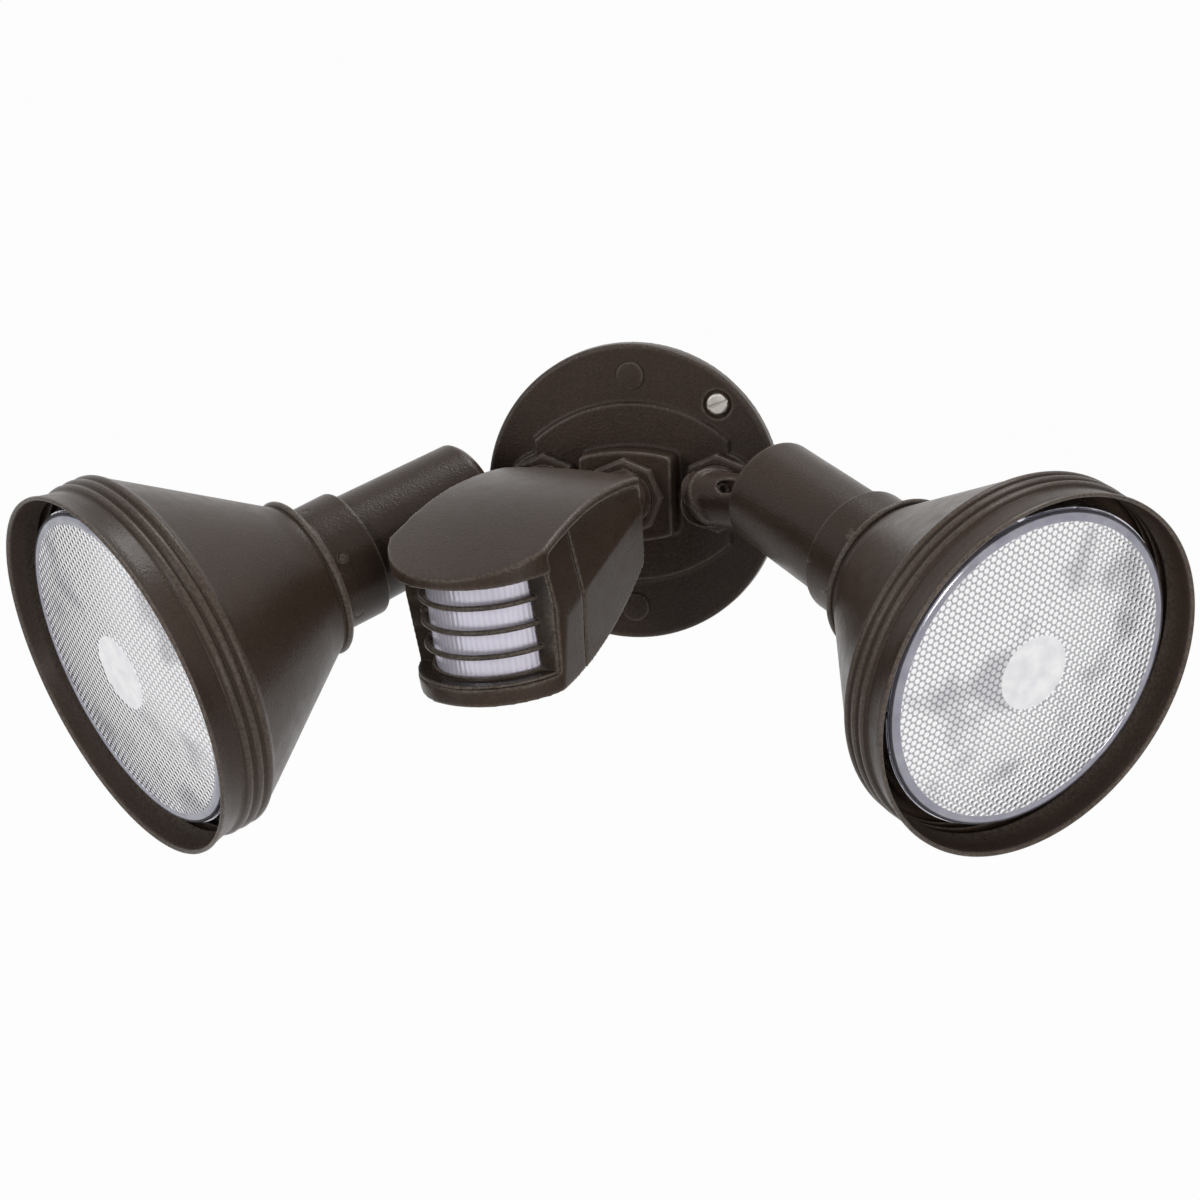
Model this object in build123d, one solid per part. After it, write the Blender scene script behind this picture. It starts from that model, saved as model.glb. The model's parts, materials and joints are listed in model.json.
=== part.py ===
from build123d import *
import os
from math import acos, atan2, cos, radians, sin, sqrt, tan

# A twin-lamp motion sensor security light for an outdoor wall box.
# Millimetres, +Z up. The wall is the XZ plane and the light reaches out along -Y.
# The origin is the centre of the cover plate's wall face.

os.makedirs("parts", exist_ok=True)

# ---------------------------------------------------------------- clearances
FACE_GAP = 0.30        # between faces of pieces that turn past each other
RUN_GAP = 0.06         # radial, for a turning or screwed fit
SEAT_GAP = 0.05        # radial, for pieces that sit still in each other
WIDE = 400.0           # blocks that cut or bound a form are larger than the light
THROUGH = 60.0         # cuts go right through the plate and its block

# ---------------------------------------------------------------- cover plate
PLATE_R = 53.0
PLATE_DEPTH = 6.3      # wall face to front face
PLATE_WALL = 3.3
PLATE_SKIRT = 2.6
PLATE_EDGE_R = 1.6
PANEL_WIDTH = 70.6     # broad step with straight sides and arched top and bottom
PANEL_CORNER_H = 37.6  # height of the straight sides
PANEL_ARCH_H = 64.0    # height over the arches
PANEL_RISE = 1.4
BLOCK_WIDTH = 33.6     # tall step that carries the sensor stem
BLOCK_CORNER_H = 28.0
BLOCK_ARCH_H = 32.6
BLOCK_RISE = 12.0
GASKET_IN_R = 36.5
GASKET_THICK = 2.9
BOX_SCREW_PCD = 88.9   # 3 1/2 in box ears
BOX_SCREW_ANGLE = 45.0
BOX_SCREW_R = 2.08     # No. 8-32 machine screw
BOX_SHANK_R = 1.85     # plain shank under the head, as far as the wall
BOX_SCREW_LENGTH = 22.0
BOX_HEAD_R = 3.9
BOX_HEAD_H = 2.4
BOX_SEAT_R = 5.1
BOX_SEAT_DEPTH = 1.3
BOX_SLOT_TURN = -20.0
SLOT_WIDTH = 1.1
PLUG_PCD = 83.3        # 3 9/32 in box ears, closed by blind plugs
PLUG_HEAD_R = 5.0
PLUG_HEAD_H = 1.3
PLUG_SHANK_R = 3.2

# ---------------------------------------------------------------- stems and locknuts
STEM_R = 10.5          # 1/2 in straight pipe thread
STEM_BORE_R = 7.0
STEM_TAIL = 4.0        # behind the wall face
LAMP_STEM_X = 31.5
NUT_R = 14.3           # over the corners of the octagon
NUT_THICK = 5.0
NUT_CHAMFER = 0.9

# ---------------------------------------------------------------- split knuckle, cut at 45 degrees
KNUCKLE_R = 10.4
KNUCKLE_ROOT_T = 3.5   # disc on the stem
KNUCKLE_CAP_T = 5.0    # disc on the head
KNUCKLE_TILT = 45.0
KNUCKLE_EDGE = 0.8
RACE_OUT_R = 8.0       # ring-shaped wire way round the screw
RACE_IN_R = 4.9
RACE_DEPTH = 2.6
PIVOT_R = 1.9
PIVOT_HEAD_R = 2.5
PIVOT_HEAD_H = 1.8
PIVOT_HEX_R = 1.4      # over the corners of its hexagon socket
PIVOT_SUNK = 6.4       # seat of the head below the side of the neck
PIVOT_REACH = 8.0      # below the joint face
PIVOT_BOSS_R = 4.6     # round the thread, in the stem
PIVOT_SLEEVE_R = 3.6   # round the shank and the head, across the neck's bore

# ---------------------------------------------------------------- lamp heads
BULB_R = 60.5          # PAR38 flood lamp
# pose of each head in the row: azimuth from straight ahead, and elevation
LAMP_AZ = {"right": 50.9, "left": -49.7}
LAMP_EL = {"right": -19.4, "left": -19.9}
HEAD_TURN = {"right": 46.0, "left": 53.0}   # of the knuckle about the lamp axis, from below
HEAD_OFF = 14.85       # from the knuckle to the lamp axis
HEAD_AHEAD = 19.4      # from the knuckle to the tube's rear edge, along the axis
TUBE_REAR_R = 19.4
TUBE_FRONT_R = 21.0
TUBE_LENGTH = 64.5     # rear edge to mouth
TUBE_WALL = 2.0
TUBE_DOME = 4.4        # bulge of the closed rear end
TUBE_DOME_FLAT_R = 11.0
NECK_R = 9.8
NECK_BORE_R = 5.5
NECK_AIM = 12.0        # where the neck's axis meets the lamp axis
COLLAR_R = 23.4
COLLAR_REAR = TUBE_LENGTH - 15.6    # distances along the axis from the tube's rear edge
COLLAR_FLANGE_R = 26.0
COLLAR_FLANGE_T = 1.8
COLLAR_SHOULDER_R = 25.4
COLLAR_SHOULDER_T = 1.6
COLLAR_SCREW_R = 1.1
COLLAR_SCREW_HEAD_R = 1.5
COLLAR_SCREW_HEAD_H = 0.7
COLLAR_SCREW_SINK = 0.9
COLLAR_SCREW_LENGTH = 3.0
COLLAR_SCREW_Z = TUBE_LENGTH - 2.0
COLLAR_SCREWS = 6
COLLAR_SCREW_FIRST = 19.0   # degrees round the lamp axis
SHADE_WALL = 1.3
SHADE_REAR = TUBE_LENGTH + 3.7      # back of the shade's rear wall
SHADE_NECK_R = 28.2
SHADE_NECK_BEAD_R = 1.5
SHADE_CORNER_R = BULB_R + 5.6
SHADE_CORNER = SHADE_REAR + 58.6
SHADE_BEADS = 3
SHADE_BEAD_WIDTH = 4.3
SHADE_BEAD_RISE = 1.2
SHADE_RIM_R = BULB_R + 8.8
SHADE_RIM = SHADE_CORNER + 24.0
SHADE_HEM = 0.9

# ---------------------------------------------------------------- socket, inside the tube
BULB_BASE_REAR = TUBE_LENGTH - 42.5
SOCKET_REAR = BULB_BASE_REAR - 17.0
SOCKET_FRONT = TUBE_LENGTH - 18.5
SOCKET_R = 16.9
SOCKET_FLOOR = 11.0
SOCKET_CAVITY_R = 14.6
SHELL_R = 14.4
SHELL_WALL = 0.6
SHELL_FRONT = SOCKET_FRONT - 2.0
CONTACT_R = 5.0
CONTACT_T = 0.7
SOCKET_SCREW_R = 1.5
SOCKET_SCREW_HEAD_R = 2.8
SOCKET_SCREW_HEAD_H = 1.9
SOCKET_SCREW_LENGTH = 13.0
SOCKET_SCREW_OFF = 9.5
SOCKET_POST_R = 3.4

# ---------------------------------------------------------------- PAR38 flood lamp
BULB_NECK = TUBE_LENGTH + 7.5
BULB_WAIST = BULB_NECK + 28.0
BULB_FACE = BULB_NECK + 70.6        # rim plane of the lens
BULB_CROWN = 3.2
BULB_LENS_T = 2.6
BULB_RIM_DEPTH = 8.0
BULB_WALL = 1.6
BULB_WAIST_R = 43.5
BULB_NECK_R = 20.4
BULB_SKIRT_R = 17.3
BULB_SKIRT_FRONT = TUBE_LENGTH - 3.9
BULB_SKIRT_REAR = TUBE_LENGTH - 13.5
BULB_BASE_R = 13.2
BULB_TIP_R = 4.5
BULB_TIP_H = 1.8
SEAL_T = 4.2           # rubber ring between the tube's mouth and the bulb

# ---------------------------------------------------------------- sensor head
# local axes: X to the sensor's right, Y backwards, Z up, origin on the axis of the round nose
SENSOR_AZ = -21.9
SENSOR_EL = -12.0
SENSOR_REACH = 78.6    # knuckle centre behind the nose's axis
SENSOR_LIFT = 10.0     # knuckle centre above the middle of the window
NOSE_R = 32.6          # nose radius at Z = 0
NOSE_DRAFT = 0.075     # growth of the nose radius per millimetre of height
HOOD_R = 34.6
HOOD_DRAFT = 0.02
HOOD_LIP_Z = 18.6
EAVE_W = (31.8, 28.8)  # half widths of the roof, at the seam and the rear
ROOF_T = 3.4
REAR_Y = 55.0
SEAM_Y = 8.0
CHINE_W = (31.5, 28.3) # half widths on the ridge along each side, at the seam and the rear
CHINE_Z = (3.9, 19.0)
ROOF_HALF_W = 28.6     # half widths at the seam, near the roof and near the belly
ROOF_EDGE_Z = 28.5
BELLY_HALF_W = 27.7
BELLY_EDGE_Z = -26.4
ROOF_FRONT = (-38.0, 21.8)     # (Y, Z) points of the roof's curve
ROOF_BROW = (-13.0, 29.4)
ROOF_CREST = (20.0, 35.2)
ROOF_BACK = (37.0, 34.6)
ROOF_REAR_Z = 31.6
ROOF_CROWN_R = 330.0   # crown of the roof from side to side
BELLY_Z = -26.2
BELLY_FLAT_Y = -14.0   # behind here the belly curves up
BELLY_CURVE_R = 110.0
BODY_WALL = 2.2
SEAM_SEAL_T = 0.6      # flat rubber seal in the seam

WINDOW_HALF_ANGLE = 66.0
WINDOW_TOP_Z = 15.4
WINDOW_BOTTOM_Z = -16.6
SHOULDER_Y = -10.5     # flat faces beside the window
SILL_Z = -18.0
BEZEL_T = 1.2
BEZEL_MARGIN = 0.4     # edge of the bezel inside the housing's outer face
BEZEL_R = 25.6         # curved panel round the window
BAR_R = 26.3
BAR_T = 2.1
BAR_PITCH = 9.05
BARS = 3
BAR_HALF_ANGLE = 67.5
LENS_R = 24.2
LENS_T = 1.0
LENS_HALF_ANGLE = 72.0

BOARD_Y = 5.0
BOARD_HALF_W = 21.0
BOARD_BOTTOM_Z = -18.0
BOARD_TOP_Z = 15.0
BOARD_T = 1.6
BOARD_LUG_T = 2.4
BOARD_LUG_H = 6.0
BOARD_LUG_X = 16.0
BOARD_LUG_Z = 11.0
BOARD_SCREW_X = 18.6
PIR_R = 4.6
PIR_H = 4.4
PHOTOCELL_R = 2.6
PHOTOCELL_H = 2.2
PHOTOCELL_X = 13.0
PHOTOCELL_Z = -12.0
RELAY_SIZE = (19.0, 15.2, 15.6)   # along X, Y and Z
RELAY_AT = (-6.0, -8.0)
CAPACITOR_R = 5.0
CAPACITOR_L = 16.0
CAPACITOR_AT = (2.0, 8.5)
POT_HALF_W = 3.4
POT_H = 4.4
KNOB_R = 4.2
KNOB_H = 3.0
KNOB_PROUD = 1.6
KNOB_STUB_R = 1.5
KNOB_X = 9.0
KNOB_Y = -8.0
SMALL_SCREW_R = 1.4
SMALL_HEAD_R = 2.5
SMALL_HEAD_H = 1.6
COVER_SCREW_X = 17.0
COVER_SCREW_Z = 21.0
COVER_POST_R = 3.4
COVER_POST_FRONT = -4.0
COVER_SCREW_SEAT = 16.0
COVER_SCREW_LENGTH = 16.0

# ---------------------------------------------------------------- derived places
PANEL_FRONT = -(PLATE_DEPTH + PANEL_RISE)
BLOCK_FRONT = PANEL_FRONT - BLOCK_RISE
LAMP_NUT_FRONT = PANEL_FRONT - NUT_THICK
SENSOR_NUT_FRONT = BLOCK_FRONT - NUT_THICK
KNUCKLE_BACK = KNUCKLE_ROOT_T * cos(radians(KNUCKLE_TILT)) + KNUCKLE_R * sin(radians(KNUCKLE_TILT))
LAMP_KNUCKLE_Y = LAMP_NUT_FRONT - FACE_GAP - KNUCKLE_BACK
SENSOR_KNUCKLE_Y = SENSOR_NUT_FRONT - FACE_GAP - KNUCKLE_BACK
OUTWARD = Vector(0, -1, 0)


def aim(azimuth, elevation):
    """Unit vector for an azimuth from straight ahead and an elevation, in degrees."""
    az = radians(azimuth)
    el = radians(elevation)
    return Vector(sin(az) * cos(el), -cos(az) * cos(el), sin(el))


def level(azimuth):
    """Horizontal unit vector to the right of a head that faces the azimuth."""
    az = radians(azimuth)
    return Vector(cos(az), sin(az), 0)


def knuckle_axis(direction, side):
    """Axis of a split knuckle whose stem lies on -Y and whose head points along direction."""
    bend = acos(direction.dot(OUTWARD))
    tilt = radians(KNUCKLE_TILT)
    turn = acos(tan(bend / 2) / tan(tilt))
    roll = atan2(direction.Z, direction.X * side) + turn
    return Vector(side * sin(tilt) * cos(roll), -cos(tilt), sin(tilt) * sin(roll))


def rod(start, direction, length, radius):
    """Cylinder from a point along a direction."""
    return Plane(origin=start, z_dir=direction) * Cylinder(
        radius, length, align=(Align.CENTER, Align.CENTER, Align.MIN)
    )


def ring(start, direction, length, outer, inner):
    """Tube from a point along a direction."""
    return rod(start, direction, length, outer) - rod(start, direction, length, inner)


def half_space(origin, normal, size=WIDE):
    """Large block on the side of a plane that its normal points to."""
    return Plane(origin=origin, z_dir=normal) * Box(
        size, size, size, align=(Align.CENTER, Align.CENTER, Align.MIN)
    )


def turned(points):
    """Solid of revolution about Z from (radius, z) points, joined by straight lines."""
    face = make_face(Polyline([(r, 0, z) for r, z in points], close=True))
    return revolve(face, Axis.Z)


def save(name, shape):
    """Write one sub-part."""
    export_step(shape, os.path.join("parts", name + ".step"))


def arched_panel(width, corner_height, arch_height, thickness, front):
    """Panel with straight sides and arched top and bottom, its front face at y = front."""
    half_w = width / 2
    half_c = corner_height / 2
    half_a = arch_height / 2
    with BuildSketch(Plane.XZ) as sketch:
        with BuildLine():
            Line((half_w, -half_c), (half_w, half_c))
            ThreePointArc((half_w, half_c), (0, half_a), (-half_w, half_c))
            Line((-half_w, half_c), (-half_w, -half_c))
            ThreePointArc((-half_w, -half_c), (0, -half_a), (half_w, -half_c))
        make_face()
    # the XZ workplane's normal is -Y, so a positive extrusion comes towards the viewer
    return Pos(0, front + thickness, 0) * extrude(sketch.sketch, amount=thickness)


def on_circle(pcd, degrees, y=0.0):
    """Point on a circle in the plate, degrees from +X towards +Z."""
    return Vector(pcd / 2 * cos(radians(degrees)), y, pcd / 2 * sin(radians(degrees)))


# ---------------------------------------------------------------- plate group
def cover_plate():
    plate = rod((0, 0, 0), OUTWARD, PLATE_DEPTH, PLATE_R)
    rim = plate.edges().group_by(Axis.Y)[0]
    plate = fillet(rim, PLATE_EDGE_R)
    recess = PLATE_DEPTH - PLATE_WALL
    plate -= rod((0, 0, 0), OUTWARD, recess, PLATE_R - PLATE_SKIRT)
    panel_depth = -PANEL_FRONT
    panel = arched_panel(PANEL_WIDTH, PANEL_CORNER_H, PANEL_ARCH_H, panel_depth - 1.0, PANEL_FRONT)
    plate += fillet(panel.edges().group_by(Axis.Y)[0], PANEL_RISE * 0.6)
    block = arched_panel(BLOCK_WIDTH, BLOCK_CORNER_H, BLOCK_ARCH_H, BLOCK_RISE + 1.0, BLOCK_FRONT)
    block = fillet(block.edges().filter_by(Axis.Y), 2.0)
    plate += fillet(block.edges().group_by(Axis.Y)[0], 0.8)
    for x in (-LAMP_STEM_X, LAMP_STEM_X):
        plate += rod((x, 0, 0), OUTWARD, -PANEL_FRONT - 0.1, NUT_R)
    for x in (-LAMP_STEM_X, 0, LAMP_STEM_X):
        plate -= rod((x, 10, 0), OUTWARD, THROUGH, STEM_R + RUN_GAP)
    for angle in (BOX_SCREW_ANGLE, BOX_SCREW_ANGLE + 180):
        plate -= rod(on_circle(BOX_SCREW_PCD, angle, 5), OUTWARD, 40, BOX_SCREW_R + 0.2)
        seat = on_circle(BOX_SCREW_PCD, angle, -(PLATE_DEPTH - BOX_SEAT_DEPTH))
        plate -= rod(seat, OUTWARD, 20, BOX_SEAT_R)
    for angle in (90, 270):
        plate -= rod(on_circle(PLUG_PCD, angle, 5), OUTWARD, 40, PLUG_SHANK_R + SEAT_GAP)
    return plate


def wall_gasket():
    outer = PLATE_R - PLATE_SKIRT - SEAT_GAP
    gasket = ring((0, 0, 0), OUTWARD, GASKET_THICK, outer, GASKET_IN_R)
    panel_way = arched_panel(PANEL_WIDTH + 1, PANEL_CORNER_H + 1, PANEL_ARCH_H + 1, 20, -15)
    gasket -= panel_way
    for x in (-LAMP_STEM_X, LAMP_STEM_X):
        gasket -= rod((x, 10, 0), OUTWARD, 40, NUT_R + 0.5)
    for angle in (BOX_SCREW_ANGLE, BOX_SCREW_ANGLE + 180):
        gasket -= rod(on_circle(BOX_SCREW_PCD, angle, 5), OUTWARD, 40, BOX_SCREW_R + 0.4)
    for angle in (90, 270):
        gasket -= rod(on_circle(PLUG_PCD, angle, 5), OUTWARD, 40, PLUG_SHANK_R + 0.4)
    return gasket


def hole_plugs():
    plugs = []
    for angle in (90, 270):
        face = on_circle(PLUG_PCD, angle, -PLATE_DEPTH)
        plug = rod(face, OUTWARD, PLUG_HEAD_H, PLUG_HEAD_R)
        plug = chamfer(plug.edges().group_by(Axis.Y)[0], 0.4)
        plug += rod(face + Vector(0, PLATE_DEPTH - 0.5, 0), OUTWARD, PLATE_DEPTH, PLUG_SHANK_R)
        plugs.append(plug)
    return Compound(children=plugs)


def box_screws():
    """Pan-head slotted screws, threaded behind the wall face, where they enter the box's ears."""
    screws = []
    grip = PLATE_DEPTH - BOX_SEAT_DEPTH
    for angle in (BOX_SCREW_ANGLE, BOX_SCREW_ANGLE + 180):
        seat = on_circle(BOX_SCREW_PCD, angle, -grip)
        head = rod(seat, OUTWARD, BOX_HEAD_H, BOX_HEAD_R)
        head = fillet(head.edges().group_by(Axis.Y)[0], BOX_HEAD_H * 0.4)
        front = seat + Vector(0, -BOX_HEAD_H, 0)
        head -= Pos(*front) * Rot(0, BOX_SLOT_TURN, 0) * Box(BOX_HEAD_R * 3, BOX_HEAD_H, SLOT_WIDTH)
        shank = rod(seat, -OUTWARD, grip, BOX_SHANK_R)
        thread = rod(seat - OUTWARD * grip, -OUTWARD, BOX_SCREW_LENGTH - grip, BOX_SCREW_R)
        screws.append(head + shank + thread)
    return Compound(children=screws)


def locknut(x, seat_y):
    """Octagonal locknut on a stem, seated at y = seat_y."""
    profile = Plane(origin=(x, seat_y, 0), z_dir=OUTWARD) * RegularPolygon(NUT_R, 8)
    nut = extrude(profile, amount=NUT_THICK)
    nut = chamfer(nut.edges().group_by(Axis.Y)[0], NUT_CHAMFER)
    return nut - rod((x, seat_y + 5, 0), OUTWARD, 40, STEM_R + RUN_GAP)


def stem_locknuts():
    nuts = [locknut(x, PANEL_FRONT) for x in (-LAMP_STEM_X, LAMP_STEM_X)]
    nuts.append(locknut(0, BLOCK_FRONT))
    return Compound(children=nuts)


# ---------------------------------------------------------------- knuckle
def knuckle_root(joint, axis, tail_y, nut_front):
    """Hollow threaded stem with the knuckle's lower half; joint is the centre of the split."""
    face = joint - axis * (FACE_GAP / 2)
    start = Vector(joint.X, tail_y, joint.Z)
    stem = rod(start, OUTWARD, tail_y - joint.Y + KNUCKLE_R, STEM_R)
    throat_y = nut_front - FACE_GAP
    trim = ring((joint.X, throat_y, joint.Z), OUTWARD, 40, STEM_R * 2, KNUCKLE_R - 1.0)
    stem -= trim
    stem -= half_space(face, axis)
    disc = rod(joint - axis * KNUCKLE_ROOT_T, axis, KNUCKLE_ROOT_T - FACE_GAP / 2, KNUCKLE_R)
    stem += disc
    stem -= rod(start + Vector(0, 1, 0), OUTWARD, tail_y - joint.Y + 1 - RACE_DEPTH, STEM_BORE_R)
    stem -= ring(face - axis * RACE_DEPTH, axis, RACE_DEPTH + 1, RACE_OUT_R, RACE_IN_R)
    boss = rod(joint - axis * (PIVOT_REACH + 1), axis, PIVOT_REACH + 1 - FACE_GAP / 2, PIVOT_BOSS_R)
    stem += boss
    return stem - rod(joint - axis * PIVOT_REACH, axis, PIVOT_REACH + 5, PIVOT_R + SEAT_GAP)


def pivot_exit(axis, neck_dir):
    """Distance from the joint to where the pivot's axis comes out of the neck's side."""
    return NECK_R / sin(acos(axis.dot(neck_dir)))


def knuckle_screw(joint, axis, neck_dir):
    """Pivot screw: head sunk in the side of the neck, thread in the root's boss."""
    reach = pivot_exit(axis, neck_dir) - PIVOT_SUNK + RUN_GAP
    seat = joint + axis * reach
    head = rod(seat, axis, PIVOT_HEAD_H, PIVOT_HEAD_R)
    socket = Plane(origin=seat + axis * PIVOT_HEAD_H, z_dir=-axis) * RegularPolygon(PIVOT_HEX_R, 6)
    head -= extrude(socket, amount=PIVOT_HEAD_H * 0.6)
    below = PIVOT_REACH - 0.4
    return head + rod(joint - axis * below, axis, below + reach, PIVOT_R)


def knuckle_cap(joint, axis, neck_dir, neck_length, body):
    """Join the knuckle's upper half and its neck to a head's body, all one casting."""
    face = joint + axis * (FACE_GAP / 2)
    neck = rod(joint - neck_dir * KNUCKLE_R, neck_dir, neck_length + KNUCKLE_R, NECK_R)
    neck -= half_space(face, -axis)
    disc = rod(face, axis, KNUCKLE_CAP_T - FACE_GAP / 2, KNUCKLE_R)
    disc = chamfer(disc.edges().sort_by(Axis(face, axis))[-1], KNUCKLE_EDGE)
    cap = body + neck + disc
    cap -= rod(joint + neck_dir * RACE_IN_R, neck_dir, neck_length - RACE_IN_R, NECK_BORE_R)
    cap -= ring(face, axis, RACE_DEPTH, RACE_OUT_R, RACE_IN_R)
    cap += rod(face, axis, KNUCKLE_CAP_T - FACE_GAP / 2, RACE_IN_R)
    way_out = pivot_exit(axis, neck_dir)
    cap += rod(face, axis, way_out + NECK_R, PIVOT_SLEEVE_R) & neck
    seat = way_out - PIVOT_SUNK
    cap -= rod(joint + axis * seat, axis, PIVOT_SUNK + 2 * PIVOT_HEAD_R, PIVOT_HEAD_R + FACE_GAP)
    return cap - rod(joint, axis, seat + 1, PIVOT_R + RUN_GAP)


# ---------------------------------------------------------------- lamp head, about local Z
def tube_r(z):
    """Outer radius of the tapered tube."""
    return TUBE_REAR_R + (TUBE_FRONT_R - TUBE_REAR_R) * z / TUBE_LENGTH


def lampholder_body():
    with BuildSketch(Plane.XZ) as outline:
        with BuildLine():
            Line((0, -TUBE_DOME), (TUBE_DOME_FLAT_R, -TUBE_DOME))
            flat_edge = (TUBE_DOME_FLAT_R, -TUBE_DOME)
            TangentArc(flat_edge, (TUBE_REAR_R, 0), tangent=(1, 0))
            Line((TUBE_REAR_R, 0), (TUBE_FRONT_R, TUBE_LENGTH))
            Line((TUBE_FRONT_R, TUBE_LENGTH), (0, TUBE_LENGTH))
            Line((0, TUBE_LENGTH), (0, -TUBE_DOME))
        make_face()
    return revolve(outline.sketch, Axis.Z)


def hollow_tube():
    """The tube's inside, with two posts for the socket left standing."""
    inside = turned([
        (0, -TUBE_DOME + TUBE_WALL),
        (TUBE_DOME_FLAT_R, -TUBE_DOME + TUBE_WALL),
        (tube_r(0) - TUBE_WALL, 1.0),
        (tube_r(TUBE_LENGTH) - TUBE_WALL, TUBE_LENGTH + 1),
        (0, TUBE_LENGTH + 1),
    ])
    for x in (-SOCKET_SCREW_OFF, SOCKET_SCREW_OFF):
        post = Pos(x, 0, -TUBE_DOME) * Cylinder(
            SOCKET_POST_R, SOCKET_REAR + TUBE_DOME, align=(Align.CENTER, Align.CENTER, Align.MIN)
        )
        inside -= post
    return inside


def socket_screw_holes():
    holes = []
    for x in (-SOCKET_SCREW_OFF, SOCKET_SCREW_OFF):
        holes.append(Pos(x, 0, 10) * Cylinder(SOCKET_SCREW_R + SEAT_GAP, 26))
    return holes[0] + holes[1]


def collar_screw_spots():
    """Local directions of the screws that hold the collar to the tube."""
    spots = []
    for i in range(COLLAR_SCREWS):
        angle = radians(COLLAR_SCREW_FIRST + 360 / COLLAR_SCREWS * i)
        spots.append(Vector(cos(angle), sin(angle), 0))
    return spots


def socket_body():
    body = turned([
        (0, SOCKET_REAR),
        (SOCKET_R, SOCKET_REAR),
        (SOCKET_R, SOCKET_FRONT),
        (SOCKET_CAVITY_R, SOCKET_FRONT),
        (SOCKET_CAVITY_R, SOCKET_REAR + SOCKET_FLOOR),
        (0, SOCKET_REAR + SOCKET_FLOOR),
    ])
    floor = SOCKET_REAR + SOCKET_FLOOR
    for x in (-SOCKET_SCREW_OFF, SOCKET_SCREW_OFF):
        body -= Pos(x, 0, floor) * Cylinder(SOCKET_SCREW_HEAD_R + 0.2, 5.0)
    return body - socket_screw_holes()


def socket_screws():
    screws = []
    seat = SOCKET_REAR + SOCKET_FLOOR - 2.5
    for x in (-SOCKET_SCREW_OFF, SOCKET_SCREW_OFF):
        head = rod((x, 0, seat), (0, 0, 1), SOCKET_SCREW_HEAD_H, SOCKET_SCREW_HEAD_R)
        head -= Pos(x, 0, seat + SOCKET_SCREW_HEAD_H) * Box(8, 0.8, 1.4)
        screws.append(head + rod((x, 0, seat), (0, 0, -1), SOCKET_SCREW_LENGTH, SOCKET_SCREW_R))
    return Compound(children=screws)


def socket_shell():
    rear = SOCKET_REAR + SOCKET_FLOOR
    return turned([
        (SHELL_R - SHELL_WALL - 1.4, rear),
        (SHELL_R, rear),
        (SHELL_R, SHELL_FRONT),
        (SHELL_R - SHELL_WALL, SHELL_FRONT),
        (SHELL_R - SHELL_WALL, rear + 0.6),
        (SHELL_R - SHELL_WALL - 1.4, rear + 0.6),
    ])


def socket_contact():
    rear = SOCKET_REAR + SOCKET_FLOOR
    front = BULB_BASE_REAR - BULB_TIP_H - FACE_GAP
    tongue = Pos(0, 0, rear) * Cylinder(
        CONTACT_R, front - rear, align=(Align.CENTER, Align.CENTER, Align.MIN)
    )
    slot = Box(CONTACT_R * 2.2, CONTACT_R * 2.2, front - rear - 2 * CONTACT_T)
    return tongue - Pos(CONTACT_R * 0.5, 0, (rear + front) / 2) * slot


def shade_collar():
    inner = TUBE_FRONT_R + SEAT_GAP
    shoulder_rear = SHADE_REAR - FACE_GAP / 6 - COLLAR_SHOULDER_T
    flange_rear = SHADE_REAR + SHADE_WALL + FACE_GAP / 6
    collar = turned([
        (inner, COLLAR_REAR),
        (COLLAR_R - 0.6, COLLAR_REAR),
        (COLLAR_R, COLLAR_REAR + 0.6),
        (COLLAR_R, shoulder_rear),
        (COLLAR_SHOULDER_R, shoulder_rear),
        (COLLAR_SHOULDER_R, SHADE_REAR - FACE_GAP / 6),
        (COLLAR_R, SHADE_REAR - FACE_GAP / 6),
        (COLLAR_R, flange_rear),
        (COLLAR_FLANGE_R, flange_rear),
        (COLLAR_FLANGE_R, flange_rear + COLLAR_FLANGE_T),
        (inner, flange_rear + COLLAR_FLANGE_T),
    ])
    for spot in collar_screw_spots():
        at = spot * (TUBE_FRONT_R - 6) + Vector(0, 0, COLLAR_SCREW_Z)
        collar -= rod(at, spot, 20, COLLAR_SCREW_R + SEAT_GAP)
        seat = spot * (COLLAR_R - COLLAR_SCREW_SINK) + Vector(0, 0, COLLAR_SCREW_Z)
        collar -= rod(seat, spot, 20, COLLAR_SCREW_HEAD_R + 0.1)
    return collar


def collar_screws():
    screws = []
    for spot in collar_screw_spots():
        seat = spot * (COLLAR_R - COLLAR_SCREW_SINK + SEAT_GAP) + Vector(0, 0, COLLAR_SCREW_Z)
        head = rod(seat, spot, COLLAR_SCREW_HEAD_H, COLLAR_SCREW_HEAD_R)
        screws.append(head + rod(seat, -spot, COLLAR_SCREW_LENGTH, COLLAR_SCREW_R))
    return Compound(children=screws)


def shade_outline(offset):
    """Shade's wall line from its neck to its rim, drawn inwards by an offset."""
    bead_base = SHADE_CORNER + SHADE_BEADS * SHADE_BEAD_WIDTH
    band_r = SHADE_CORNER_R + 0.6
    neck = (SHADE_NECK_R - offset, SHADE_REAR + offset)
    cone_start = (SHADE_NECK_R - offset, SHADE_REAR + 2.2)
    corner = (SHADE_CORNER_R - offset, SHADE_CORNER)
    edges = [Line(neck, cone_start), Line(cone_start, corner)]
    for i in range(SHADE_BEADS):
        near = SHADE_CORNER + i * SHADE_BEAD_WIDTH
        far = near + SHADE_BEAD_WIDTH
        start_r = SHADE_CORNER_R if i == 0 else band_r
        middle = (band_r + SHADE_BEAD_RISE - offset, (near + far) / 2)
        edges.append(ThreePointArc((start_r - offset, near), middle, (band_r - offset, far)))
    edges.append(Line((band_r - offset, bead_base), (SHADE_RIM_R - offset, SHADE_RIM)))
    return edges


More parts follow.
